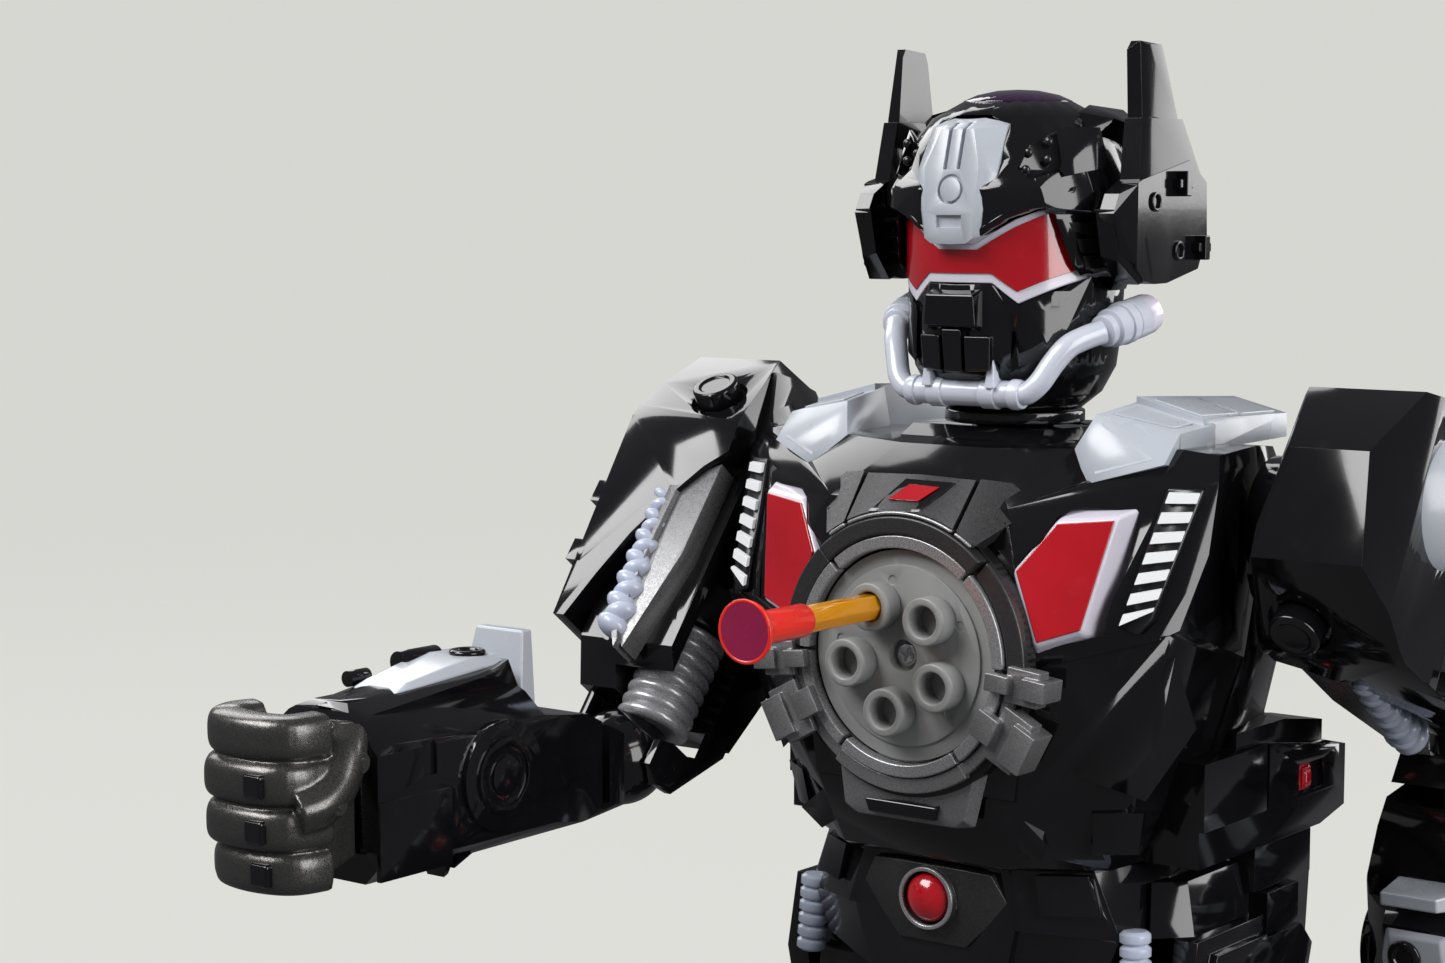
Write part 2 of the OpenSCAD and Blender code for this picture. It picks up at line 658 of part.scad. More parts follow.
module face_mask() {
  color(black) raised() difference() {
    union() {
      translate([0, neck_y, 0]) rotate_extrude() polygon([[0, 290], [15.5, 290], [20.4, 294], [23.6, 300], [24.8, 309], [25.2, 318],
        [22.5, 318], [22.5, 322.6], [0, 322.6]]);
      // beak of the mask and its side ridges
      block(both([[6.6, -18.9, 317.2], [7.2, -17, 322.4], [6.4, -19.4, 309], [9, -16, 309], [12.6, -13.4, 312.4], [12, -13.6, 300.2],
        [6, -17, 300.2], [5, -14, 296], [10, -10, 296], [10, -8, 322]]));
      for (s = [-1, 1]) side(s)
        block([[13, -14.2, 313], [15.4, -12.6, 316], [25, 0, 321.8], [26.4, 6, 317.9], [26, 4, 306], [20, -7.6, 303], [14, -13, 301],
          [14, -8, 312], [22, 2, 306], [22, 2, 317.9]]);
    }
    translate([0, neck_y, 295]) cylinder(r = 19, h = 40);
    visor_outline_cut();
    cheek_body(0.15);
    // teeth grooves
    for (x = [-3.4, 3.4]) box([x - 0.5, -22, 301], [x + 0.5, -17.6, 309]);
    translate([0, neck_y, 300]) difference() { cylinder(r = 60, h = 22); cylinder(r = 26.4, h = 22); }
    for (s = [-1, 1]) side(s) box([27, -40, 280], [60, 60, 400]);
  }
}

module visor_outline() {
  polygon(concat([[0, 329.2], [5, 329.4], [12.6, 335], [17.7, 337], [22.4, 338], [25, 321.2], [13.9, 314.9], [8.4, 319.6], [0, 319.4]],
    [[-8.4, 319.6], [-13.9, 314.9], [-25, 321.2], [-22.4, 338], [-17.7, 337], [-12.6, 335], [-5, 329.4]]));
}
module visor_outline_cut() { xz(-60, neck_y) visor_outline(); }

module visor() {
  color(red) raised() difference() { visor_band(); crest_solid(); }
}

module visor_band(e = 0) {
  intersection() {
    xz(-40, neck_y - 1) visor_outline();
    difference() {
      translate([0, neck_y, 300]) cylinder(r = 25.4 + e, h = 50);
      translate([0, neck_y, 300]) cylinder(r = 22.9, h = 50);
    }
  }
}

module forehead_crest() {
  color(pale) raised() difference() {
    crest_solid();
    brow_window();
    translate([0, neck_y, 300]) cylinder(r = helmet_r - 7, h = 80);
    // grooves, round seal and the slot under it
    for (x = [-1.8, 1.8]) block([[x - 0.5, -19, 345.5], [x + 0.5, -19, 345.5], [x + 0.5, -14.4, 356], [x - 0.5, -14.4, 356],
      [x - 0.5, -24, 345.5], [x + 0.5, -24, 345.5], [x + 0.5, -22, 358], [x - 0.5, -22, 358]]);
    difference() { rod_y(0, 341, 3.4, -26, -19.8); rod_y(0, 341, 2.7, -26, -19); }
    box([-3.4, -24, 332.4], [3.4, -20.4, 335.2]);
  }
}

module ear_plate_outline() {
  polygon([[-8, 336], [-5.4, 340.7], [0.8, 343.1], [23, 347.7], [30.9, 342.6], [31.4, 330.4], [27.3, 322.7], [12.6, 319.7],
    [7, 319.6], [2, 320.4], [-4.8, 326]]);
}

module ear_fins() {
  color(black) raised() for (s = [-1, 1]) side(s) difference() {
    union() {
      intersection() {
        yz(31.5, 37.6) ear_plate_outline();
        block([[31.5, -12, 318], [35.4, -12, 318], [37.6, -2, 318], [37.6, 33, 318], [31.5, 33, 318],
          [31.5, -12, 350], [35, -12, 350], [37.2, -1, 350], [37.2, 33, 350], [31.5, 33, 350]]);
      }
      // tapered fin in two steps
      block([[31.5, 0.8, 343], [36.4, 1.4, 343], [37.4, 5, 343], [37.4, 29, 343.6], [31.5, 29, 343.6], [31, 3.6, 357], [35.4, 4, 357],
        [36.4, 7, 357], [36.2, 21.4, 357], [31.4, 21.4, 357]]);
      block([[31.2, 4.4, 356], [34.8, 4.8, 356], [35.8, 7.8, 356], [35.6, 20, 356], [31.6, 20, 356],
        [30.4, 4.8, fin_top - 2], [30.6, 6.4, fin_top], [33.2, 6.4, fin_top], [34, 8, fin_top - 0.6], [33.8, 15.4, fin_top - 0.6],
        [31, 15.4, fin_top - 0.6], [34, 16.6, fin_top - 3], [31, 16.6, fin_top - 3]]);
      // cheek block in front of the plate
      block([[30.6, -8.4, 336], [35.4, -8, 336], [37.4, -2.7, 337], [31, -2, 338], [30.6, -5.6, 326], [35, -5, 325], [37.4, 1, 320],
        [31, 1, 320], [38, 4, 330], [38, 8, 322], [31, 8, 322], [31, 4, 334]]);
      rod_x(neck_y, 333, 9, 27, 31.5);
      // screw bosses and clips on the outer face
      rod_x(6.7, 338.2, 2, 36, 38.2);
      rod_x(17.7, 327, 2, 36.6, 38.2);
      box([37, 14.6, 341.4], [39.8, 20.6, 343.4]);
      box([37, 16.4, 339.6], [40.4, 18.6, 345.2]);
      box([37.4, 24, 326.6], [39.8, 29.6, 328.6]);
      box([37.4, 25.6, 325], [40.4, 27.8, 330.4]);
    }
    rod_x(6.7, 338.2, 1.4, 37.8, 45);
    rod_x(17.7, 327, 1.4, 37.8, 45);
  }
}

module cheek_rods(e) {
  for (s = [-1, 1]) side(s) {
    rod([15.4, -13.2, 294.6], [19.2, -12.2, 297.6], 2.6 + e);
    translate([15.4, -13.2, 294.6]) sphere(r = 3 + e, $fn = 24);
    rod([19.2, -12.2, 297.6], [23.6, -7.6, 305.6], 2.6 + e);
    translate([19.2, -12.2, 297.6]) sphere(r = 2.8 + e, $fn = 24);
    rod([23.6, -7.6, 305.6], [27.4, -1.4, 308.6], 2.6 + e);
    translate([23.6, -7.6, 305.6]) sphere(r = 2.8 + e, $fn = 24);
    rod([27.4, -1.4, 308.6], [28.4, 0.6, 309.1], 3.8 + e);
    rod([28.4, 0.6, 309.1], [31.6, 16, 313], 4.6 + e);
  }
}

module cheek_body(e = 0) {
  union() {
      mouth_bar(e);
      for (s = [-1, 1]) side(s) {
        rod_x(-13.2, 294.6, 3.5 + e, 5, 9);
        rod_x(-13.2, 294.6, 3.6 + e, 12.6, 14.4);
      }
      cheek_rods(e);
      for (s = [-1, 1]) side(s) {
        rod([29.4, 5.4, 310.3], [29.9, 7.4, 310.8], 5 + e);
        block([[7.6, -16.6, 296], [9.6, -16.6, 296], [9.6, -13.4, 296.4], [7.6, -13.4, 296.4], [8.2, -16, 303.6], [9, -16, 303.6], [9, -15, 302],
          [8.2, -15, 302]]);
      }
  }
}

module cheek_hoses() { color(pale) raised() difference() { cheek_body(); face_core(); } }

module face_core() {
  for (s = [-1, 1]) side(s) box([0, -13, 297.4], [12.6, 20, 330]);
  translate([0, neck_y, 290]) cylinder(r = 15.4, h = 30);
}

// ---------- arms (own frame: shoulder axle at the origin, arm hanging down) ----------

module arm(s, pitch) { raised() translate([0, sh_y, sh_z]) rotate([-pitch, 0, 0]) side(s) children(); }
module forearm(s, pitch) {
  arm(s, pitch) translate([0, elbow[1], elbow[2]]) rotate([90 - elbow_bend, 0, 0]) children();
}

module pauldron_profile() {
  polygon([[-27, -58], [-30, -1], [-29, 3], [-19, 25], [4.5, 31.5], [25, 19], [31, -2], [26, -30], [16, -50], [10, -62], [-16, -62]]);
}
module core_profile() {
  polygon([[-21, 20], [-21, -60], [-14, -70], [14, -70], [20, -48], [28, -26], [31, -2], [25, 19], [4.5, 31.5]]);
}

module hose_path() { translate([83.8, -25.2, -21]) rotate([180 + 0.5, -4.6, 0]) children(); }

module shoulder_shell() {
  difference() {
    union() {
      // core of the upper arm
      intersection() {
        yz(66, 98) core_profile();
        block([[66, -18, 3], [70, -34, 3], [77, -34, 34], [98, -34, 40], [98, 40, 40], [84, 40, 32], [66, 40, 3],
          [66, -18, -75], [70, -34, -75], [95, -34, -75], [95, 40, -75], [66, 40, -75]]);
      }
      // pauldron blade with its swept lip
      intersection() {
        yz(68, 104) pauldron_profile();
        xz(-40, 60) polygon([[68, 40], [104, 40], [103, 3], [101.4, -58], [98, -58], [93.4, -46], [88, -34], [81, -23], [74, -14], [68, -9]]);
        block([[66, -40, -60], [69, -40, 3], [76, -40, 34], [98, -40, 34], [104, -40, 10], [102, -40, -60],
          [66, 40, -60], [71, 40, 0], [82, 40, 22], [86, 40, 34], [98, 40, 34], [104, 40, 10], [102, 40, -60]]);
      }
      // shoulder disc and its axle
      rod_x(0, 0, 15, 64.4 + move_gap / 2, 72);
      rod_x(0, 0, 5, 55, 66);
      rod_x(0, 0, 8.6, 53, 57 - move_gap);
      // two clips on the outer front edge
      box([100.6, -28.6, -26], [105, -24, -20]);
      box([100.2, -28, -43], [104.6, -23.6, -37]);
      // lower frame behind the bellows
      block([[70, 5, -46], [92, 5, -46], [92, 20, -48], [70, 20, -48], [72, 5, -70], [90, 5, -70], [90, 13, -70], [72, 13, -70]]);
    }
    // hollow of the shell
    box([70.5, -13, -44], [94, 19, 16]);
    // round boss recess on the front facet
    boss() cylinder(r = 7.4, h = 6);
    // bellows pocket on the inner side
    box([60, -17.5, -80], [84, 4.6, -49]);
    // elbow socket
    translate(elbow) sphere(r = 12.2);
    box([60, -17.4, -90], [100, 14, -69.9]);
    shoulder_lens_solid();
    arm_plate();
    hose_path() translate([0, 0, -0.6]) cylinder(r1 = 2.25, r2 = 4.2, h = 42.6);
  }
  boss() translate([0, 0, -0.4]) cylinder(r = 5.8, h = 2.8);
  elbow_fork();
}

// two lugs that hold the elbow pin
module elbow_fork() {
  y = elbow[1];
  z = elbow[2];
  difference() {
    union() {
      yz(66.2, 68) polygon([[5, z + 34], [13, z + 34], [13, z + 12], [y + 6.5, z - 5], [y, z - 6], [y - 5, z - 3], [y - 5, z + 3.6],
        [y, z + 5.4], [y + 6.5, z + 5.4], [5, z + 7.4]]);
      box([66.2, 5.2, z + 16], [71, 12.8, z + 34]);
      yz(92, 93.8) polygon([[y - 5, z + 24], [y + 9, z + 24], [y + 9, z + 12], [y + 6.5, z - 2], [y, z - 6], [y - 5, z - 3]]);
    }
    rod_x(y, z, 4 + run_gap, 60, 100);
  }
}

module boss() { translate([81, -26.9, 7.6]) rotate([65.6, 0, 0]) translate([0, 0, -2]) children(); }

module shoulder_lens_solid() {
  translate([92, 8, -2]) rotate([0, 90, 0]) intersection() {
    sphere(r = 18);
    translate([0, 0, 7]) cylinder(r = 15, h = 14);
  }
}

module arm_plate() {
  xz(-27.4, -21) polygon([[70.5, -12], [77, -15.5], [81.4, -20], [80.6, -40], [79, -61], [75.6, -65], [70.4, -38]]);
  xz(-29, -21) polygon([[79.4, -17.6], [82, -20], [81.6, -40], [79.4, -62], [76.8, -66], [76.6, -63.6], [78.4, -60], [79.8, -40]]);
}

module arm_hoses() {
  difference() {
    union() {
      hose_path() bellows(2.2, 4.1, 41, 12, 0.9);
      translate([75, -6.4, -76]) bellows(9.4, 9.4, 26.8, 8, 1.3);
      translate([76, -6.4, -76]) cylinder(r = 7.6, h = 26.9);
    }
    translate(elbow) sphere(r = 12.2);
    box([60, -16.4, -70], [100, -16.2, -48]);
    arm_plate();
    box([84, -20, -69.9], [99, 6, -49]);
    box([70, 4.6, -75], [92, 20, -46]);
  }
}

module forearm_profile() {
  polygon([[-13, -8], [-76, -9], [-78, -10], [-forearm_len, -10], [-forearm_len, 20], [-forearm_len + 1.6, 26], [-forearm_len + 4, 27.4], [-52, 28],
    [-48, 25], [-47, 19], [-30, 16.5], [-13, 9]]);
}

module forearm_shell() {
  difference() {
    union() {
      translate([elbow[0], 0, 0]) sphere(r = 11.7);
      rod_x(0, 0, 4, 66.4, 93.6);
      rod_y(80, 0.5, 8, -16, -3);
      intersection() {
        yz(62, 97) forearm_profile();
        // waisted plan, square cuff and a crowned top
        xz(-130, 0) polygon([[62, 18], [62, -6], [66, -10], [92, -10], [97, -6], [97, 18], [90, 25], [84, 28], [76, 28], [68, 24]]);
        xy(-20, 40) polygon([[62, -forearm_len], [97, -forearm_len], [97, -60], [92, -13], [68, -13], [62, -44]]);
      }
      // pointed hood over the cuff
      block([[80, -forearm_len + 0.2, 27], [70, -forearm_len + 6, 25], [90, -forearm_len + 6, 25], [68, -62, 29], [92, -62, 29], [72, -49, 31], [88, -49, 31],
        [70, -48, 25], [90, -48, 25], [80, -forearm_len + 8, 23]]);
      // turned roundel on the inner side
      rod_x(-63, 8, 12.4, 60.6, 63);
      rod_x(-63, 8, 8.6, 59.8, 61);
      // fin, knobs and wedge
      block([[70, -47, 14], [90, -47, 14], [90, -43, 14], [70, -43, 14], [74, -41, 36], [88, -41, 36], [88, -39, 36], [74, -39, 36]]);
      rod_y(88, 31, 2.6, -68, -56);
      rod_y(90, 29, 1.8, -82, -76);
      block([[64, -78, -9], [72, -78, -9], [72, -70, -8.6], [64, -70, -8.6], [66, -77, -13], [71, -77, -13], [71, -72, -9.4]]);
      // lower cuff band
      box([61.4, -forearm_len, -9], [62.6, -79, 8]);
    }
    // slot in the cuff, roundel groove, wrist socket and the shell's hollow
    box([60, -forearm_len + 14, 11.6], [63, -forearm_len + 18, 21]);
    difference() { rod_x(-63, 8, 7, 59, 60.4); rod_x(-63, 8, 4.4, 59, 60.4); }
    rod_y(79, 11, 6 + move_gap, -forearm_len - 2, -forearm_len + 9);
    box([66, -forearm_len + 12, -6], [93, -20, 14]);
    box([58, -76, -20], [100, -74.4, -8.8]);
  }
}

module finger(z, x0, r, front) {
  hull() {
    translate([x0 + 23.6, -forearm_len - 11, z]) sphere(r = r, $fn = 16);
    translate([x0 + 21, -forearm_len - front, z]) sphere(r = r, $fn = 16);
  }
  hull() {
    translate([x0 + 21, -forearm_len - front, z]) sphere(r = r, $fn = 16);
    translate([x0 + 7, -forearm_len - front - 0.6, z]) sphere(r = r * 1.02, $fn = 16);
  }
  hull() {
    translate([x0 + 7, -forearm_len - front - 0.6, z]) sphere(r = r, $fn = 16);
    translate([x0 + 5, -forearm_len - 11, z]) sphere(r = r * 0.94, $fn = 16);
  }
}

module fist() {
  // palm, four curled fingers and the thumb laid across them
  block([[68, -forearm_len - 0.6, -4], [90, -forearm_len - 0.6, -4], [92, -forearm_len - 0.6, 24], [68, -forearm_len - 0.6, 26],
    [66, -forearm_len - 12, -7], [92, -forearm_len - 12, -7], [93, -forearm_len - 12, 27], [67, -forearm_len - 12, 28],
    [68, -forearm_len - 20.6, -6], [89, -forearm_len - 20.6, -6], [89, -forearm_len - 20.6, 26], [69, -forearm_len - 20.6, 27]]);
  finger(24.4, 64.6, 5.2, 20);
  finger(14.6, 64.6, 5, 21);
  finger(5, 64.6, 5, 20.6);
  finger(-4.4, 65, 4.8, 18.6);
  hull() {
    translate([67, -forearm_len - 6, 20]) sphere(r = 5.2, $fn = 16);
    translate([64.4, -forearm_len - 10, 12]) sphere(r = 4.8, $fn = 16);
  }
  hull() {
    translate([64.4, -forearm_len - 10, 12]) sphere(r = 4.8, $fn = 16);
    translate([63.4, -forearm_len - 17, 9.6]) sphere(r = 4.2, $fn = 16);
  }
  rod_x(-forearm_len - 5, 19.4, 2.4, 61, 66);
  rod_x(-forearm_len - 12, 9.8, 2.2, 59.2, 66);
  rod_y(79, 11, 6, -forearm_len - 2, -forearm_len + 8);
}

module shoulder_shell_right() { color(black) arm(-1, right_pitch) shoulder_shell(); }
module shoulder_shell_left() { color(black) arm(1, left_pitch) shoulder_shell(); }
module shoulder_lens_right() { color(pale) arm(-1, right_pitch) shoulder_lens_solid(); }
module shoulder_lens_left() { color(pale) arm(1, left_pitch) shoulder_lens_solid(); }
module arm_plate_right() { color(charcoal) arm(-1, right_pitch) arm_plate(); }
module arm_plate_left() { color(charcoal) arm(1, left_pitch) arm_plate(); }
module arm_hoses_right() { color(pale) arm(-1, right_pitch) arm_hoses(); }
module arm_hoses_left() { color(pale) arm(1, left_pitch) arm_hoses(); }
module forearm_shell_right() { color(black) forearm(-1, right_pitch) forearm_shell(); }
module forearm_shell_left() { color(black) forearm(1, left_pitch) forearm_shell(); }
module fist_right() { color(gunmetal) forearm(-1, right_pitch) fist(); }
module fist_left() { color(gunmetal) forearm(1, left_pitch) fist(); }

// ---------- legs ----------

knee_z = 94 + up * 0.6;

module thigh_shell() {
  difference() {
    union() {
      rod_x(hip_y, hip_z, 19, 6, 45.6);
      yz(6, 45.6) polygon([[hip_y - 19, hip_z], [hip_y - 22, hip_z - 24], [hip_y - 20, knee_z + 6], [hip_y - 16, knee_z],
        [hip_y + 17, knee_z], [hip_y + 21, knee_z + 8], [hip_y + 21, hip_z - 24], [hip_y + 19, hip_z]]);
      // thigh armour
      yz(12, 40) polygon([[hip_y - 21, hip_z - 20], [hip_y - 25, hip_z - 26], [hip_y - 24, knee_z + 10], [hip_y - 19, knee_z + 6]]);
      yz(45.6, 48) polygon([[hip_y - 12, hip_z - 22], [hip_y + 10, hip_z - 22], [hip_y + 14, hip_z - 34], [hip_y + 6, knee_z + 8], [hip_y - 10, knee_z + 8]]);
    }
    rod_x(hip_y, hip_z, 2.5 + run_gap, 0, 60);
    box([6 + 2 * wall, hip_y - 14, knee_z + 3], [40, hip_y + 15, hip_z - 12]);
  }
}

module shin_shell() {
  difference() {
    union() {
      yz(8, 47) polygon([[hip_y - 18, knee_z], [hip_y - 22, knee_z - 14], [hip_y - 23, ankle_z + 14], [hip_y - 18, ankle_z + 11],
        [hip_y + 20, ankle_z + 11], [hip_y + 24, ankle_z + 16], [hip_y + 24, knee_z - 16], [hip_y + 17, knee_z]]);
      // knee pad and shin ridge
      block([[16, hip_y - 21, knee_z - 2], [39, hip_y - 21, knee_z - 2], [20, hip_y - 28, knee_z - 6], [35, hip_y - 28, knee_z - 6],
        [20, hip_y - 27, knee_z - 18], [35, hip_y - 27, knee_z - 18], [16, hip_y - 22, knee_z - 24], [39, hip_y - 22, knee_z - 24],
        [16, hip_y - 18, knee_z - 4], [39, hip_y - 18, knee_z - 4], [16, hip_y - 18, knee_z - 24], [39, hip_y - 18, knee_z - 24]]);
      block([[23, hip_y - 22, knee_z - 26], [32, hip_y - 22, knee_z - 26], [24, hip_y - 26, knee_z - 30], [31, hip_y - 26, knee_z - 30],
        [24, hip_y - 26, ankle_z + 20], [31, hip_y - 26, ankle_z + 20], [23, hip_y - 22, ankle_z + 15], [32, hip_y - 22, ankle_z + 15]]);
      // ankle tongue
      yz(20, 35) polygon([[hip_y - 8, ankle_z + 12], [hip_y - 7, ankle_z], [hip_y + 7, ankle_z], [hip_y + 8, ankle_z + 12]]);
      rod_x(hip_y, ankle_z, 7, 20, 35);
    }
    rod_x(hip_y, ankle_z, 2.5 + run_gap, 10, 50);
    box([8 + 2 * wall, hip_y - 16, ankle_z + 14], [42, hip_y + 18, knee_z - 3]);
  }
}

toe_y = hip_y - 0.52 * foot_len;
heel_y = toe_y + foot_len;

module foot_shell() {
  difference() {
    union() {
      block([[5, toe_y + 3, 2], [53, toe_y + 3, 2], [56, toe_y + 16, 2], [56, heel_y - 8, 2], [52, heel_y, 2], [6, heel_y, 2], [3, heel_y - 8, 2],
        [3, toe_y + 16, 2], [6, toe_y, 10], [52, toe_y, 10], [9, toe_y + 20, 24], [49, toe_y + 20, 24], [8, hip_y - 18, ankle_z + 4.5],
        [50, hip_y - 18, ankle_z + 4.5], [8, hip_y + 18, ankle_z + 4.5], [50, hip_y + 18, ankle_z + 4.5], [8, heel_y - 4, 20], [50, heel_y - 4, 20]]);
      // toe cap and side ribs
      block([[14, toe_y - 1.4, 4], [44, toe_y - 1.4, 4], [16, toe_y - 1.4, 11], [42, toe_y - 1.4, 11], [18, toe_y + 16, 24.4], [40, toe_y + 16, 24.4],
        [14, toe_y + 10, 6], [44, toe_y + 10, 6]]);
    }
    // slot for the ankle tongue
    yz(20 - move_gap, 35 + move_gap) polygon([[hip_y - 13, 60], [hip_y - 9, ankle_z - 2], [hip_y - 7, ankle_z - 8],
      [hip_y + 7, ankle_z - 8], [hip_y + 9, ankle_z - 2], [hip_y + 13, 60]]);
    // roller bay
    box([24 - move_gap, toe_y + 20 - 4.8, -1], [34 + move_gap, toe_y + 20 + 4.8, 9.2]);
    rod_x(toe_y + 20, 4.3, 1.5 + run_gap, 20, 38);
    box([9, hip_y + 24, 5], [49, heel_y - 8, 16]);
  }
  rod_x(hip_y, ankle_z, 2.5, 18, 37);
}

module sole_pad() {
  difference() {
    xy(0, 2) polygon([[6, toe_y + 4], [52, toe_y + 4], [55, toe_y + 17], [55, heel_y - 9], [51, heel_y - 1], [7, heel_y - 1], [4, heel_y - 9],
      [4, toe_y + 17]]);
    box([23, toe_y + 14.4, -1], [35, toe_y + 25.6, 3]);
  }
}

module foot_roller() {
  rod_x(toe_y + 20, 4.3, 4, 24, 34);
  rod_x(toe_y + 20, 4.3, 1.5, 21, 37);
}

module thigh_shell_right() { color(black) leg(-1) thigh_shell(); }
module thigh_shell_left() { color(black) leg(1) thigh_shell(); }
module shin_shell_right() { color(black) leg(-1) shin_shell(); }
module shin_shell_left() { color(black) leg(1) shin_shell(); }
module foot_shell_right() { color(black) leg(-1) foot_shell(); }
module foot_shell_left() { color(black) leg(1) foot_shell(); }
module sole_pad_right() { color(charcoal) leg(-1) sole_pad(); }
module sole_pad_left() { color(charcoal) leg(1) sole_pad(); }
module foot_roller_right() { color(charcoal) leg(-1) foot_roller(); }
module foot_roller_left() { color(charcoal) leg(1) foot_roller(); }

// ---------- parts ----------
waist_front_shell();
waist_rear_shell();
belly_plate();
belly_button();
waist_hoses();
hip_side_covers();
walk_gearbox();
hip_axle();
torso_front_shell();
torso_back_shell();
chest_frame();
chest_clamps();
chest_lights();
stripe_panels();
shoulder_pads();
chest_badge();
backpack_cover();
batteries();
battery_door();
power_switch();
circuit_board();
speaker();
spin_motor();
spin_pinion();
barrel_plate();
barrel_tubes();
barrel_screw();
barrel_gear();
dart_shaft();
dart_cup();
neck_post();
helmet_shell();
face_mask();
visor();
forehead_crest();
ear_fins();
cheek_hoses();
dome_lens();
shoulder_shell_right();
shoulder_lens_right();
arm_plate_right();
arm_hoses_right();
forearm_shell_right();
fist_right();
shoulder_shell_left();
shoulder_lens_left();
arm_plate_left();
arm_hoses_left();
forearm_shell_left();
fist_left();
thigh_shell_right();
shin_shell_right();
foot_shell_right();
sole_pad_right();
foot_roller_right();
thigh_shell_left();
shin_shell_left();
foot_shell_left();
sole_pad_left();
foot_roller_left();
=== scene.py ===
import json
import math
from itertools import product

import bmesh
import bpy
from mathutils import Matrix, Vector

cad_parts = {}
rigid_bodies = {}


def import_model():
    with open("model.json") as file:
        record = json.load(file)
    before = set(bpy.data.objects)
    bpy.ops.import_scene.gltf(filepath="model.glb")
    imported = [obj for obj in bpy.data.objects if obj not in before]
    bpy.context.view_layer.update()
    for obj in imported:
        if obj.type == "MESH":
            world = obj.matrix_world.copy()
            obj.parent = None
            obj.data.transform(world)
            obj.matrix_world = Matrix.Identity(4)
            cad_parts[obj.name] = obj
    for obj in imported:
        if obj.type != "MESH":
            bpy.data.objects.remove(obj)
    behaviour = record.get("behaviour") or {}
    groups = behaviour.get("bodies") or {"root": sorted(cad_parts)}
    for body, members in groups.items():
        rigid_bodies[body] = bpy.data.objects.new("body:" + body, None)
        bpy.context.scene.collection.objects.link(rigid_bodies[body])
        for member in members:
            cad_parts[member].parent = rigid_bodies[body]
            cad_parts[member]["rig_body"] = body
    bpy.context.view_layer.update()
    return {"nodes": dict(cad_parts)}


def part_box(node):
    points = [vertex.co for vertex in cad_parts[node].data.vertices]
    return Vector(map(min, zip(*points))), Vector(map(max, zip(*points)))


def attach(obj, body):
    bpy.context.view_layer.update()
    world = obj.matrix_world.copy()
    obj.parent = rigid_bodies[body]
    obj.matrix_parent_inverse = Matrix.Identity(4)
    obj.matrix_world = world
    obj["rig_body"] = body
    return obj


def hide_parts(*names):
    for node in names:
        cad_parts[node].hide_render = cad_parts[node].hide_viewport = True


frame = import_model()
NODES = frame["nodes"]
MM = 0.001

NECK_Y = 8.0
# The robot's own drawing zero lies on its mirror plane, in front of the neck axis.
neck_low, neck_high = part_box("neck_post")
ZERO_Y = (neck_low.y + neck_high.y) / 2 - NECK_Y * MM
DISC_Z = 236.5
SHOULDER = (0.0, 15.0, 266.5)
ELBOW = (0.0, -6.5, -84.0)
PITCH = {"right": 38.0, "left": -60.0}
ELBOW_BEND = 52.0
FOREARM = 101.0
SIDES = {"right": -1, "left": 1}

BODY_SPACE = Matrix.Translation((0, ZERO_Y, 0)) @ Matrix.Scale(MM, 4)


def arm_space(side):
    """Upper arm drawn hanging down from its shoulder axle, in millimetres."""
    return (
        BODY_SPACE
        @ Matrix.Translation(SHOULDER)
        @ Matrix.Rotation(math.radians(-PITCH[side]), 4, "X")
        @ Matrix.Diagonal((SIDES[side], 1, 1, 1))
    )


def forearm_space(side):
    """Forearm drawn pointing along -Y from its elbow axle, in millimetres."""
    return (
        arm_space(side)
        @ Matrix.Translation(ELBOW)
        @ Matrix.Rotation(math.radians(90 - ELBOW_BEND), 4, "X")
    )


def side_space(side):
    """The body's space, mirrored for the robot's right side."""
    return BODY_SPACE @ Matrix.Diagonal((SIDES[side], 1, 1, 1))


# ---------- materials ----------


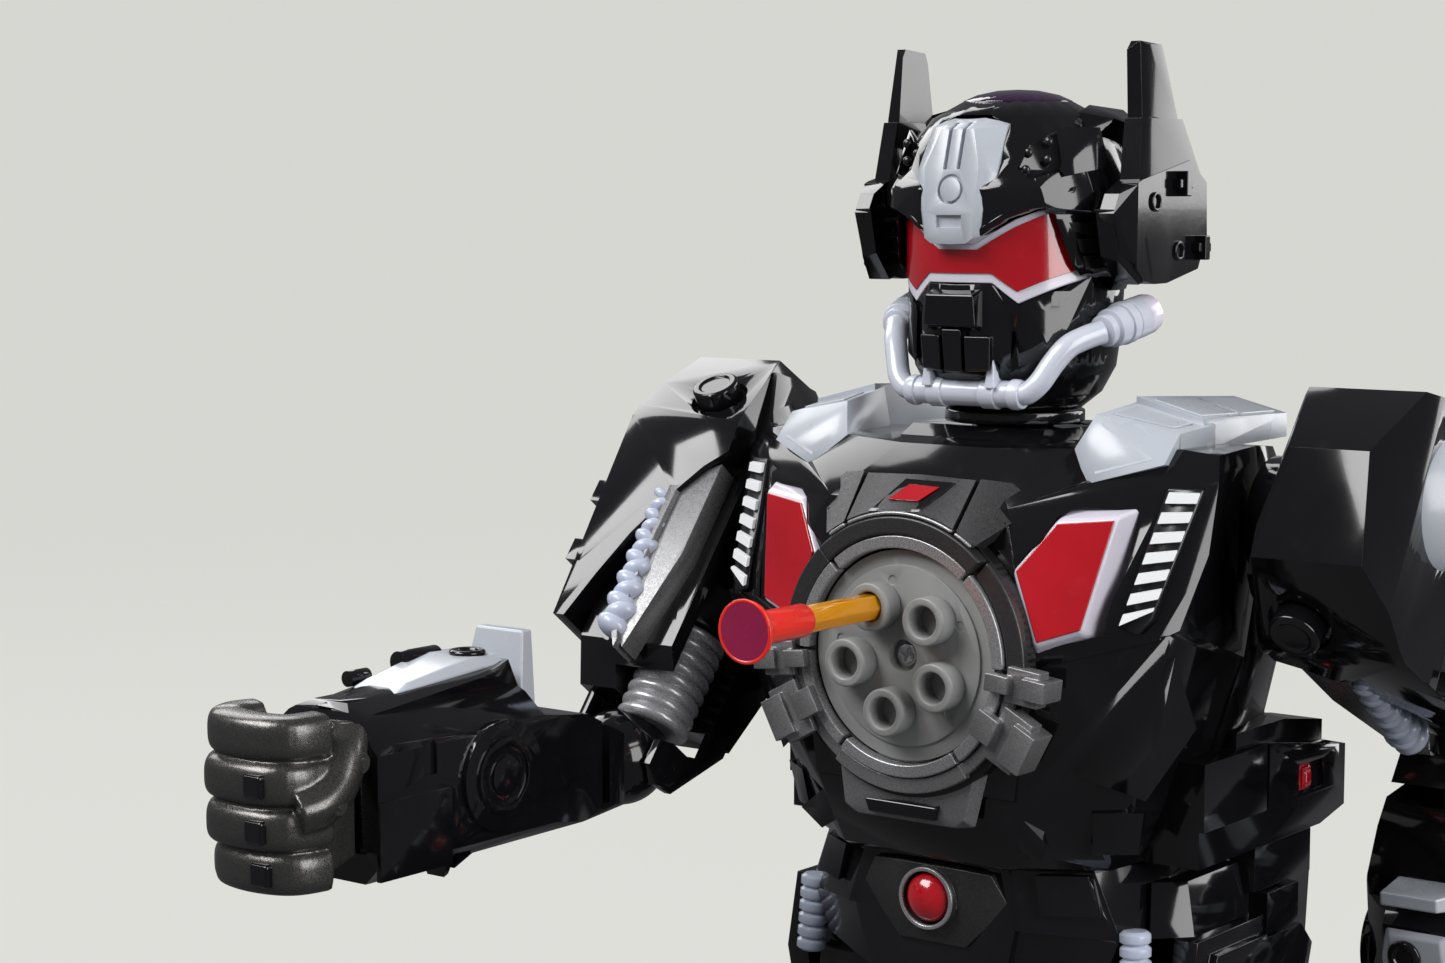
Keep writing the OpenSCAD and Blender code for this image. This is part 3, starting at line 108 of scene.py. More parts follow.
def moulded(
    name,
    color,
    rough=0.3,
    metal=0.0,
    coat=0.0,
    coat_rough=0.05,
    spread=0.12,
    grain=0.0,
    grain_scale=900,
    fleck=0.0,
    fleck_scale=1600,
    scuff=0.03,
    soft=0.0,
    clear=0.0,
    ior=1.5,
):
    """Moulded plastic or metal: slow colour drift, roughness patches, surface grain and faint scuffs."""
    mat = bpy.data.materials.new(name)
    mat.use_nodes = True
    nodes, links = mat.node_tree.nodes, mat.node_tree.links
    shader = nodes["Principled BSDF"]
    place = nodes.new("ShaderNodeTexCoord")

    def noise(scale, detail, seed):
        n = nodes.new("ShaderNodeTexNoise")
        n.noise_dimensions = "4D"
        n.inputs["Scale"].default_value = scale
        n.inputs["Detail"].default_value = detail
        n.inputs["W"].default_value = seed
        links.new(place.outputs["Object"], n.inputs["Vector"])
        return n.outputs["Fac"]

    def remap(value, low, high, out_low, out_high):
        m = nodes.new("ShaderNodeMapRange")
        ends = {"From Min": low, "From Max": high, "To Min": out_low, "To Max": out_high}
        for socket, number in ends.items():
            m.inputs[socket].default_value = number
        links.new(value, m.inputs["Value"])
        return m.outputs["Result"]

    def mix(factor, first, second):
        m = nodes.new("ShaderNodeMix")
        m.data_type = "RGBA"
        links.new(factor, m.inputs["Factor"])
        for socket, value in ((m.inputs["A"], first), (m.inputs["B"], second)):
            if isinstance(value, tuple):
                socket.default_value = (*value, 1)
            else:
                links.new(value, socket)
        return m.outputs["Result"]

    drift = remap(noise(28, 3, 1.5), 0.35, 0.65, 0, 1)
    dark = tuple(c * (1 - spread) for c in color)
    light = tuple(min(1, c * (1 + spread) + 0.002) for c in color)
    tint = mix(drift, dark, light)
    marks = remap(noise(190, 6, 7.2), 0.62, 0.74, 0, scuff)
    tint = mix(marks, tint, tuple(min(1, c + 0.25) for c in color))
    if fleck:
        cells = nodes.new("ShaderNodeTexVoronoi")
        cells.inputs["Scale"].default_value = fleck_scale
        links.new(place.outputs["Object"], cells.inputs["Vector"])
        spark = nodes.new("ShaderNodeSeparateColor")
        links.new(cells.outputs["Color"], spark.inputs["Color"])
        glint = remap(spark.outputs["Red"], 0.55, 1.0, 0, fleck)
        tint = mix(glint, tint, tuple(min(1, c * 3 + 0.1) for c in color))
        rough_spots = remap(spark.outputs["Green"], 0, 1, max(0.12, rough - 0.14), rough + 0.12)
        links.new(rough_spots, shader.inputs["Roughness"])
    else:
        patches = remap(noise(75, 5, 3.1), 0.35, 0.68, rough * 0.8, rough * 1.25 + scuff * 0.5)
        links.new(patches, shader.inputs["Roughness"])
    links.new(tint, shader.inputs["Base Color"])
    shader.inputs["Metallic"].default_value = metal
    shader.inputs["Coat Weight"].default_value = coat
    shader.inputs["Coat Roughness"].default_value = coat_rough
    shader.inputs["Subsurface Weight"].default_value = soft
    shader.inputs["Subsurface Radius"].default_value = (0.004, 0.003, 0.003)
    shader.inputs["Subsurface Scale"].default_value = 0.6
    shader.inputs["Transmission Weight"].default_value = clear
    shader.inputs["IOR"].default_value = ior
    bump = nodes.new("ShaderNodeBump")
    bump.inputs["Strength"].default_value = 0.06 + grain
    bump.inputs["Distance"].default_value = 0.00006
    links.new(noise(grain_scale, 4, 9.4), bump.inputs["Height"])
    links.new(bump.outputs["Normal"], shader.inputs["Normal"])
    return mat


MATS = {
    "gloss_black": moulded("gloss_black", (0.004, 0.004, 0.005), 0.1, coat=0.25, coat_rough=0.03,
        scuff=0.01),
    "satin_black": moulded("satin_black", (0.008, 0.008, 0.009), 0.3, coat=0.2, coat_rough=0.2,
        grain=0.1, scuff=0.015),
    "charcoal": moulded("charcoal", (0.05, 0.05, 0.052), 0.4, metal=0.65, fleck=0.1, fleck_scale=5200,
        grain=0.35, grain_scale=5000, spread=0.06),
    "silver_edge": moulded("silver_edge", (0.34, 0.34, 0.35), 0.33, metal=0.6, fleck=0.14, fleck_scale=4200,
        grain=0.3, grain_scale=4200, spread=0.05),
    "silver_paint": moulded("silver_paint", (0.40, 0.40, 0.42), 0.32, metal=0.5, fleck=0.08,
        fleck_scale=4200, grain=0.2, grain_scale=4200, spread=0.04),
    "plate_silver": moulded("plate_silver", (0.2, 0.2, 0.205), 0.36, metal=0.55, fleck=0.12,
        fleck_scale=4200, grain=0.3, grain_scale=4200, spread=0.05),
    "light_grey": moulded("light_grey", (0.27, 0.275, 0.27), 0.4, grain=0.2, grain_scale=1400, spread=0.05),
    "pale_grey": moulded("pale_grey", (0.47, 0.50, 0.55), 0.3, coat=0.25, coat_rough=0.15, soft=0.05,
        spread=0.04),
    "hose_blue": moulded("hose_blue", (0.52, 0.57, 0.70), 0.26, coat=0.3, coat_rough=0.1, soft=0.1,
        spread=0.05),
    "white_frame": moulded("white_frame", (0.74, 0.70, 0.80), 0.2, coat=0.5, coat_rough=0.06, soft=0.3,
        spread=0.03),
    "tube_white": moulded("tube_white", (0.62, 0.65, 0.74), 0.24, coat=0.4, coat_rough=0.08, soft=0.15,
        spread=0.03),
    "red_gloss": moulded("red_gloss", (0.46, 0.004, 0.012), 0.14, coat=0.9, coat_rough=0.03, soft=0.03,
        spread=0.12),
    "white_print": moulded("white_print", (0.80, 0.81, 0.82), 0.3, coat=0.2, coat_rough=0.1, spread=0.02),
    "gunmetal": moulded("gunmetal", (0.105, 0.102, 0.098), 0.3, metal=0.8, fleck=0.1, fleck_scale=5200,
        grain=0.25, grain_scale=4600, spread=0.06),
    "dart_amber": moulded("dart_amber", (0.92, 0.40, 0.01), 0.14, coat=0.4, clear=0.35, soft=0.1,
        spread=0.05, ior=1.46),
    "dart_red": moulded("dart_red", (0.85, 0.025, 0.012), 0.24, coat=0.35, coat_rough=0.12, soft=0.35,
        spread=0.06),
    # painted shade: the hollow of the dart's cup, coloured darker and more purple than the cup itself
    "dart_cup_painted_shade": moulded("dart_cup_painted_shade", (0.28, 0.008, 0.06), 0.3, coat=0.3, soft=0.3, spread=0.1),
    "purple_lens": moulded("purple_lens", (0.028, 0.008, 0.04), 0.06, coat=1.0, coat_rough=0.02,
        clear=0.15, scuff=0.01),
    "sole_rubber": moulded("sole_rubber", (0.03, 0.03, 0.03), 0.75, grain=0.7, grain_scale=500),
    "motor_metal": moulded("motor_metal", (0.55, 0.55, 0.56), 0.3, metal=0.95, grain=0.1),
    "cell_metal": moulded("cell_metal", (0.55, 0.42, 0.12), 0.25, metal=0.6, coat=0.5),
    "steel": moulded("steel", (0.66, 0.66, 0.68), 0.2, metal=1.0, grain=0.1),
    "nylon": moulded("nylon", (0.78, 0.77, 0.72), 0.42, soft=0.2, grain=0.1),
    "board": moulded("board", (0.02, 0.14, 0.05), 0.35, coat=0.5, grain=0.3, grain_scale=400),
    "speaker_black": moulded("speaker_black", (0.03, 0.03, 0.032), 0.5, grain=0.4),
}

# ---------- building pieces ----------


def new_piece(name, bm, finish, body, bevel=0.0, segments=2, smooth_angle=40, swap=()):
    """Turns a bmesh, drawn in the row frame, into a finished piece riding on a body."""
    mesh = bpy.data.meshes.new(name)
    bmesh.ops.recalc_face_normals(bm, faces=bm.faces)
    bm.to_mesh(mesh)
    bm.free()
    return finish_piece(name, mesh, finish, body, bevel, segments, smooth_angle, swap)


def finish_piece(name, mesh, finish, body, bevel, segments, smooth_angle, swap):
    """Gives a mesh its finish, its rounded or sharp edges, its body and the nodes it replaces."""
    obj = bpy.data.objects.new(name, mesh)
    bpy.context.scene.collection.objects.link(obj)
    mesh.materials.append(MATS[finish])
    mesh.shade_smooth()
    if bevel:
        mod = obj.modifiers.new("bevel", "BEVEL")
        mod.width = bevel * MM
        mod.segments = segments
        mod.limit_method = "ANGLE"
        mod.angle_limit = math.radians(smooth_angle)
        mod.harden_normals = True
        mod.use_clamp_overlap = True
        mod.miter_outer = "MITER_ARC"
    else:
        mesh.set_sharp_from_angle(angle=math.radians(smooth_angle))
    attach(obj, body)
    if swap:
        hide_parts(*swap)
    return obj


def bevelled(node, finish, bevel=0.5, segments=2, angle=30):
    """A CAD node's own shape with merged faces and rounded edges."""
    bm = bmesh.new()
    bm.from_mesh(NODES[node].data)
    bmesh.ops.remove_doubles(bm, verts=bm.verts, dist=2e-6)
    bmesh.ops.dissolve_limit(bm, angle_limit=math.radians(1.0), verts=bm.verts, edges=bm.edges)
    mesh = bpy.data.meshes.new(node + ".shell")
    bm.to_mesh(mesh)
    bm.free()
    body = NODES[node]["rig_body"]
    return finish_piece(node + ".shell", mesh, finish, body, bevel, segments, angle, (node,))


def painted(node, finish):
    """A CAD node that keeps its own mesh and takes a finish."""
    data = NODES[node].data
    data.materials.clear()
    data.materials.append(MATS[finish])


class Draft:
    """Solids drawn in millimetres in one space and collected into one piece."""

    def __init__(self, space=BODY_SPACE):
        self.bm = bmesh.new()
        self.space = space

    def solid(self, points, faces):
        made = [self.bm.verts.new(self.space @ Vector(p)) for p in points]
        for face in faces:
            self.bm.faces.new([made[i] for i in face])
        return self

    def loft(self, rings, loop=False):
        """Skins equal rings of points in order, then caps the ends or joins them."""
        count = len(rings[0])
        points = [p for ring in rings for p in ring]
        faces = []
        if not loop:
            faces += [list(range(count)), list(range(len(points) - count, len(points)))]
        for row in range(len(rings) - (0 if loop else 1)):
            after = (row + 1) % len(rings)
            for i in range(count):
                j = (i + 1) % count
                faces.append([row * count + i, row * count + j, after * count + j, after * count + i])
        return self.solid(points, faces)

    def hull(self, points):
        made = [self.bm.verts.new(self.space @ Vector(p)) for p in points]
        result = bmesh.ops.convex_hull(self.bm, input=made)
        loose = result["geom_interior"] + result["geom_unused"]
        spare = [item for item in loose if isinstance(item, bmesh.types.BMVert)]
        bmesh.ops.delete(self.bm, geom=list(set(spare)), context="VERTS")
        return self

    def twin_hull(self, points):
        """A hull through the points and their mirror images across the middle."""
        return self.hull([(side * x, y, z) for side in (-1, 1) for x, y, z in points])

    def box(self, low, high):
        return self.hull(list(product(*zip(low, high))))

    def slab(self, outline, shift):
        """An outline of points in space, thickened by a shift."""
        return self.loft([outline, [tuple(Vector(p) + Vector(shift)) for p in outline]])

    def arc(self, inner, outer, start, end, near, far, centre=(0, DISC_Z), step=3):
        """Part of a ring about an axis along Y, or the whole ring."""
        whole = abs(end - start) >= 360
        count = math.ceil(abs(end - start) / step)
        rings = []
        for i in range(count + (0 if whole else 1)):
            t = math.radians(start + (end - start) * i / count)
            corners = ((inner, near), (outer, near), (outer, far), (inner, far))
            c, s = math.cos(t), math.sin(t)
            rings.append([(centre[0] + r * c, y, centre[1] + r * s) for r, y in corners])
        return self.loft(rings, whole)

    def turned(self, origin, axis, profile, sides=40):
        """A lathe shape: the profile lists distances along the axis and radii."""
        axis = Vector(axis).normalized()
        across = axis.orthogonal().normalized()
        rings = [ring_points(Vector(origin) + axis * along, axis, across, r, sides) for along, r in profile]
        return self.loft(rings)

    def tube(self, path, radius, sides=20, square=2.0, up=None):
        """A rod along a path: its radius follows the share of the length, square over 2 flattens it."""
        points = [Vector(p) for p in path]
        rings = []
        across = Vector(up) if up else (points[1] - points[0]).orthogonal()
        for i, point in enumerate(points):
            along = (points[min(i + 1, len(points) - 1)] - points[max(i - 1, 0)]).normalized()
            across = (across - along * across.dot(along)).normalized()
            rings.append(ring_points(point, along, across, radius(i / (len(points) - 1)), sides, square))
        return self.loft(rings)

    def piece(self, name, finish, body, bevel=0.3, segments=2, angle=30, swap=()):
        flat = math.radians(0.5)
        bmesh.ops.dissolve_limit(self.bm, angle_limit=flat, verts=self.bm.verts, edges=self.bm.edges)
        return new_piece(name, self.bm, finish, body, bevel, segments, angle, swap)


def ring_points(centre, axis, across, radius, sides, square=2.0):
    """A ring about an axis: round at square 2, with flatter sides above it."""
    other = axis.cross(across)
    points = []
    for t in (2 * math.pi * k / sides for k in range(sides)):
        c, s = math.cos(t), math.sin(t)
        reach = radius / (abs(c) ** square + abs(s) ** square) ** (1 / square)
        points.append(tuple(centre + (across * c + other * s) * reach))
    return points


def between(a, b, share):
    """The point a share of the way from a to b."""
    return tuple(x + (y - x) * share for x, y in zip(a, b))


def smooth_path(points, steps=8):
    """Rounds a route of a few points with a Catmull-Rom curve."""
    route = [points[0], *points, points[-1]]
    result = []
    for i in range(1, len(route) - 2):
        p0, p1, p2, p3 = (Vector(p) for p in route[i - 1 : i + 3])
        for k in range(steps):
            t = k / steps
            bend = (p2 - p0) * t + (p0 * 2 - p1 * 5 + p2 * 4 - p3) * t**2 + (p1 * 3 - p0 - p2 * 3 + p3) * t**3
            result.append(tuple(p1 + bend / 2))
    return result + [tuple(points[-1])]


def profile_at(points, x):
    """Height of a broken line at a place along it."""
    for (x0, z0), (x1, z1) in zip(points, points[1:]):
        if x0 <= x <= x1:
            return z0 + (z1 - z0) * (x - x0) / (x1 - x0)
    return points[-1][1]


def row_tree():
    """Copies a part in a row: how many, how far apart, how much each one turns and grows."""
    tree = bpy.data.node_groups.new("row_of_parts", "GeometryNodeTree")
    kinds = {"Part": "Geometry", "Count": "Int", "Step": "Vector", "Turn": "Float", "Growth": "Float"}
    kinds["Finish"] = "Material"
    for name, kind in kinds.items():
        tree.interface.new_socket(name, in_out="INPUT", socket_type="NodeSocket" + kind)
    tree.interface.new_socket("Row", in_out="OUTPUT", socket_type="NodeSocketGeometry")
    node, link = tree.nodes.new, tree.links.new
    given, result = node("NodeGroupInput"), node("NodeGroupOutput")
    line = node("GeometryNodeMeshLine")
    copies = node("GeometryNodeInstanceOnPoints")
    index = node("GeometryNodeInputIndex")
    turn, grow = node("ShaderNodeMath"), node("ShaderNodeMath")
    angles = node("ShaderNodeCombineXYZ")
    real, paint = node("GeometryNodeRealizeInstances"), node("GeometryNodeSetMaterial")
    turn.operation, grow.operation = "MULTIPLY", "MULTIPLY_ADD"
    link(given.outputs["Count"], line.inputs["Count"])
    link(given.outputs["Step"], line.inputs["Offset"])
    link(index.outputs[0], turn.inputs[0])
    link(given.outputs["Turn"], turn.inputs[1])
    link(index.outputs[0], grow.inputs[0])
    link(given.outputs["Growth"], grow.inputs[1])
    grow.inputs[2].default_value = 1
    link(turn.outputs[0], angles.inputs["Z"])
    link(line.outputs["Mesh"], copies.inputs["Points"])
    link(given.outputs["Part"], copies.inputs["Instance"])
    link(angles.outputs[0], copies.inputs["Rotation"])
    link(grow.outputs[0], copies.inputs["Scale"])
    link(copies.outputs[0], real.inputs[0])
    link(real.outputs[0], paint.inputs["Geometry"])
    link(given.outputs["Finish"], paint.inputs["Material"])
    link(paint.outputs[0], result.inputs[0])
    return tree


def spots_tree():
    """Sets a low round head on every point: for rivets."""
    tree = bpy.data.node_groups.new("heads_on_points", "GeometryNodeTree")
    kinds = {"Points": "Geometry", "Radius": "Float", "Flatness": "Float", "Finish": "Material"}
    for name, kind in kinds.items():
        tree.interface.new_socket(name, in_out="INPUT", socket_type="NodeSocket" + kind)
    tree.interface.new_socket("Heads", in_out="OUTPUT", socket_type="NodeSocketGeometry")
    node, link = tree.nodes.new, tree.links.new
    given, result = node("NodeGroupInput"), node("NodeGroupOutput")
    ball = node("GeometryNodeMeshUVSphere")
    flat = node("ShaderNodeCombineXYZ")
    shape = node("GeometryNodeTransform")
    copies = node("GeometryNodeInstanceOnPoints")
    real, paint = node("GeometryNodeRealizeInstances"), node("GeometryNodeSetMaterial")
    ball.inputs["Segments"].default_value = 16
    ball.inputs["Rings"].default_value = 8
    flat.inputs["X"].default_value = 1
    flat.inputs["Z"].default_value = 1
    link(given.outputs["Radius"], ball.inputs["Radius"])
    link(given.outputs["Flatness"], flat.inputs["Y"])
    link(ball.outputs["Mesh"], shape.inputs["Geometry"])
    link(flat.outputs[0], shape.inputs["Scale"])
    link(given.outputs["Points"], copies.inputs["Points"])
    link(shape.outputs[0], copies.inputs["Instance"])
    link(copies.outputs[0], real.inputs[0])
    link(real.outputs[0], paint.inputs["Geometry"])
    link(given.outputs["Finish"], paint.inputs["Material"])
    link(paint.outputs[0], result.inputs[0])
    return tree


ROW_TREE = row_tree()
SPOTS_TREE = spots_tree()


def grown(name, mesh, tree, finish, body, space, swap=(), angle=40, **sizes):
    """Runs a geometry tree on a mesh drawn in millimetres and keeps the result as one plain piece."""
    seed = bpy.data.objects.new(name + ".seed", mesh)
    bpy.context.scene.collection.objects.link(seed)
    mod = seed.modifiers.new("grow", "NODES")
    mod.node_group = tree
    sizes["Finish"] = MATS[finish]
    for item in tree.interface.items_tree:
        if item.in_out == "INPUT" and item.name in sizes:
            mod[item.identifier] = sizes[item.name]
    graph = bpy.context.evaluated_depsgraph_get()
    made = bpy.data.meshes.new_from_object(seed.evaluated_get(graph), depsgraph=graph)
    bpy.data.objects.remove(seed)
    made.transform(space)
    made.materials.clear()
    bm = bmesh.new()
    bm.from_mesh(made)
    return new_piece(name, bm, finish, body, 0.0, 2, angle, swap)


def bead_mesh(radius, height, tilt, sides=18, rows=9):
    """One bead of a twisted hose: a squashed ball tipped to one side."""
    bm = bmesh.new()
    bmesh.ops.create_uvsphere(bm, u_segments=sides, v_segments=rows, radius=1)
    shape = Matrix.Translation((0.35, 0, 0)) @ Matrix.Rotation(math.radians(tilt), 4, "Y")
    shape = shape @ Matrix.Diagonal((radius, radius, height, 1))
    bmesh.ops.transform(bm, matrix=shape, verts=bm.verts)
    mesh = bpy.data.meshes.new("bead")
    bm.to_mesh(mesh)
    bm.free()
    return mesh


BEVELLED = {
    "gloss_black": ["waist_front_shell", "waist_rear_shell", "hip_side_covers", "torso_front_shell",
        "torso_back_shell", "backpack_cover", "battery_door", "helmet_shell", "face_mask", "neck_post"]
        + [n + s for s in ("_right", "_left") for n in ("shoulder_shell", "forearm_shell", "thigh_shell",
            "shin_shell", "foot_shell")],
    "satin_black": ["stripe_panels"],
    "charcoal": ["belly_plate"],
    "plate_silver": ["arm_plate_right", "arm_plate_left", "chest_clamps"],
    "light_grey": ["barrel_plate", "barrel_tubes"],
    "pale_grey": ["shoulder_pads", "forehead_crest", "shoulder_lens_right", "shoulder_lens_left"],
    "hose_blue": ["waist_hoses"],
    "red_gloss": ["belly_button", "power_switch"],
    "dart_amber": ["dart_shaft"],
    "dart_red": ["dart_cup"],
    "purple_lens": ["dome_lens"],
    "steel": ["barrel_screw"],
}
PAINTED = {
    "motor_metal": ["walk_gearbox", "spin_motor"],
    "steel": ["hip_axle"],
    "cell_metal": ["batteries"],
    "board": ["circuit_board"],
    "speaker_black": ["speaker"],
    "nylon": ["spin_pinion", "barrel_gear"],
    "sole_rubber": ["sole_pad_right", "sole_pad_left", "foot_roller_right", "foot_roller_left"],
}

for finish, names in BEVELLED.items():
    for node in names:
        bevelled(node, finish)
for finish, names in PAINTED.items():
    for node in names:
        painted(node, finish)

# ---------- chest ----------

LIGHT_BASE = [(34.3, -25, 271), (50.5, -18, 272.1), (43.6, -26.6, 242.2), (30, -31.5, 236.9),
    (24.5, -31.5, 256.7)]
LIGHT_FACE = [(34.7, -29.6, 268.1), (47.1, -26.3, 269.4), (42.8, -33.2, 245.6), (33.1, -35.4, 242.2),
    (27.4, -34.9, 257.6)]


def chest_lights():
    """A white gem on each side of the chest with a red painted face."""
    frames, faces = Draft(), Draft()
    middle = tuple(sum(c) / 5 for c in zip(*LIGHT_FACE))
    forward = Vector((0.24, -0.94, 0.26)).normalized()
    sunk, thick = 0.6, 0.95
    for side in SIDES:
        frames.space = faces.space = side_space(side)
        rim = [between(middle, p, 1.05) for p in LIGHT_FACE]
        frames.loft([[(x, y + 4, z) for x, y, z in LIGHT_BASE], LIGHT_BASE, rim])
        low = [tuple(Vector(p) - forward * sunk) for p in LIGHT_FACE]
        faces.slab(low, tuple(forward * thick))
    frames.piece("light_frames", "white_frame", "torso", 1.0, 4, swap=("chest_lights",))
    faces.piece("light_faces", "red_gloss", "torso", 0.3, 3)


def stripe_bars():
    """Seven white bars down each side panel; the lowest is cut across a corner."""
    bars = Draft()
    left = ((55.3, -17.4, 275.2), (50.9, -30.6, 247.2))
    right = ((61.3, -14.2, 275.1), (57.1, -27.8, 249.1))
    out = Vector((0.42, -0.86, -0.28)).normalized()
    count = 7
    for side in SIDES:
        bars.space = side_space(side)
        for i in range(count):
            top, low = i / (count - 0.5), (i + 0.5) / (count - 0.5)
            corners = [between(*left, top), between(*right, top), between(*right, low), between(*left, low)]
            if i == count - 1:
                corners[2] = between(corners[1], corners[2], 0.25)
            bars.slab([tuple(Vector(c) - out * 0.6) for c in corners], tuple(out * 1.05))
    bars.piece("stripe_bars", "white_print", "torso", 0.1, 1)


def pad_panels():
    """Inset outline plates on the shoulder pads: one on the front lip, two on the long top."""
    panels = Draft()
    lip = [(37.5, -22.4, 276.4), (52.9, -15.4, 281), (53.1, -8.6, 287.4), (34, -12.4, 291),
        (31, -16.6, 283.4)]
    tops = [
        [(37, -9.4, 291), (50.6, -6.8, 288.4), (51.4, 0.4, 289.1), (38, 0.4, 292.2)],
        [(38.6, 5, 293.6), (51, 5, 290.4), (50.2, 24, 289.8), (38.9, 24, 292.7)],
        [(39.0, 26, 292.6), (50.1, 26, 289.7), (49.4, 44, 289.1), (39.4, 44, 291.7)],
    ]
    for side in SIDES:
        panels.space = side_space(side)
        middle = tuple(sum(c) / 5 for c in zip(*lip))
        out = Vector((0.12, -0.85, 0.5)).normalized()
        front = [tuple(Vector(between(middle, p, 0.74)) - out * 0.5) for p in lip]
        panels.slab(front, tuple(out * 0.8))
        for top in tops:
            panels.slab([(x, y, z - 0.3) for x, y, z in top], (0, 0, 0.55))
    panels.piece("pad_panels", "pale_grey", "torso", 0.25, 2)


def polar(radius, angle, y, centre=DISC_Z):
    """A place on a circle round the turning plate's axis."""
    t = math.radians(angle)
    return (radius * math.cos(t), y, centre + radius * math.sin(t))


def hood_point(x, share, lift=0.0):
    """A place on the hood's middle facet: across it and up its slope."""
    low = DISC_Z + math.sqrt(33.2**2 - x**2)
    return (x, -40.4 + 9 * share - lift, low + (277 - low) * share + lift * 0.6)


def chest_ring():
    """The ring round the turning plate: base, silver rim pieces, dark bands, hood and lower bracket."""
    base = Draft().arc(24.45, 32.4, 0, 360, -37.6, -34)
    hood = Draft()
    rows = []
    for i in range(13):
        x = 14.3 - 28.6 * i / 12
        top = (x * 1.02, -31.4, 277 - abs(x) * 0.03)
        rows.append([hood_point(x, 0), top, (x, -27, 275), (x * 0.9, -33, 264)])
    hood.loft(rows)
    for side in SIDES:
        hood.space = side_space(side)
        front = [polar(33.2, t, -40.2) for t in (62.8, 58, 53)]
        front += [(28.8, -27.6, 271.6), (22.4, -28.8, 276.2), (15.8, -31.2, 276.9)]
        hood.hull(front + [(x * 0.98, y + 4, z - 1) for x, y, z in front])
    hood.piece("hood_plate", "charcoal", "torso", 0.35, 2)
    base.piece("ring_base", "satin_black", "torso", 0.2, 1)

    rim = Draft()
    gaps = (48, 132, 181.5, 234, 306, 358.5)
    for start, end in zip(gaps, (*gaps[1:], gaps[0] + 360)):
        rim.arc(24.55, 27.5, start + 0.9, end - 0.9, -40.4, -37.4)
    for start, end in ((54, 63), (64.4, 115.6), (117, 126)):
        rim.arc(32.0, 32.9, start, end, -40.6, -37)
    rim.piece("rim_segments", "silver_edge", "torso", 0.45, 3)

    bands = Draft().arc(27.7, 31.8, 46.8, 133.2, -40.9, -34)
    for side in SIDES:
        bands.space = side_space(side)
        bands.arc(27.7, 32.4, -1, 45.6, -39.4, -34)
    bands.piece("ring_bands", "charcoal", "torso", 0.6, 3)

    foot = Draft().arc(27.7, 31.2, 235, 305, -39.6, -34)
    foot.twin_hull(((18.6, -36.8, 213.5), (16.2, -37.6, 200.6), (13, -36.6, 198.4), (17, -34, 198.6),
        (20.6, -34, 212.6), (15, -37.2, 213.5)))
    for side in SIDES:
        foot.space = side_space(side)
        foot.arc(27.7, 30.6, 303, 357, -39.2, -34)
    foot.piece("ring_bracket", "plate_silver", "torso", 0.5, 3, swap=("chest_frame",))
    bar = Draft().twin_hull((
        (9.8, -39.3, 203), (9.8, -36, 203.8), (8.8, -39.1, 199.9), (8.8, -36, 199.4)))
    bar.piece("bracket_bar", "gloss_black", "torso", 0.5, 3)


def badge():
    """A plain slanted plate with a red bar and a thin silver line below it."""
    plate_corners = ((-7.6, 0.1), (5.5, 0.1), (10, 0.86), (-3.2, 0.86))
    plate = Draft().slab([hood_point(x, s, -0.4) for x, s in plate_corners], (0, -0.5, 0.35))
    plate.piece("badge_plate", "gloss_black", "torso", 0.1, 1)
    bar_corners = ((-4.4, 0.27), (3.6, 0.27), (6.9, 0.7), (-1.1, 0.7))
    bar = Draft().slab([hood_point(x, s, 0.1) for x, s in bar_corners], (0, -0.3, 0.2))
    bar.piece("badge_bar", "red_gloss", "torso", 0.1, 1, swap=("chest_badge",))
    line_corners = ((-8.3, 0.03), (5.2, 0.03), (5.4, 0.09), (-7.9, 0.09))
    line = Draft().slab([hood_point(x, s, -0.3) for x, s in line_corners], (0, -0.55, 0.3))
    line.piece("badge_line", "silver_edge", "torso", 0.05, 1)


def dart_cup_painted_shade():
    """A darker skin inside the dart's soft cup: painted shade in the cup's hollow."""
    low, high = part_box("dart_cup")
    lip = (low.y - ZERO_Y) / MM
    centre = ((low.x + high.x) / 2 / MM, lip, (low.z + high.z) / 2 / MM)
    profile = [(0.25, 6.5), (1.5, 4.9), (2.7, 3.1), (3.3, 1.4), (3.5, 0.5), (3.9, 0.5), (3.7, 1.6),
        (3.1, 3.3), (1.9, 5.1), (0.5, 6.6)]
    shade_shell = Draft().turned(centre, (0, 1, 0), profile, 40)
    shade_shell.piece("dart_cup_painted_shade", "dart_cup_painted_shade", "dart", 0.0, angle=50)


# ---------- head ----------

VISOR_R = 25.4
VISOR_LOW = [(0, 319.8), (8.4, 319.8), (13.8, 315.2), (24.6, 321.2)]
VISOR_HIGH = [(0, 328.9), (4.8, 328.9), (13, 334.2), (17.7, 336.4), (20.8, 337.2), (22.9, 331),
    (24.6, 321.9)]
RED_LOW = [(0, 322), (8.4, 322), (13.8, 317.9), (23.4, 322.9)]
RED_HIGH = [(0, 327.4), (5.2, 327.4), (13.2, 332.5), (17.7, 334.9), (20.1, 336.1), (22, 330.9),
    (23.4, 323.3)]


def on_head(radius, x, z):
    """The front of an upright cylinder round the neck axis, at a given x and z."""
    return (x, NECK_Y - math.sqrt(radius**2 - x**2), z)


def visor_band(low, high, inner, outer, last):
    """A wrap-round band between two broken lines, on cylinders round the neck axis."""
    places = sorted({x for x, z in low + high if x <= last} | {last * i / 14 for i in range(15)})
    places = [-x for x in reversed(places) if x > 0] + places
    rows = []
    for x in places:
        z0, z1 = profile_at(low, abs(x)), profile_at(high, abs(x))
        corners = ((outer, z0), (outer, z1), (inner, z1), (inner, z0))
        rows.append([on_head(r, x, z) for r, z in corners])
    return Draft().loft(rows)


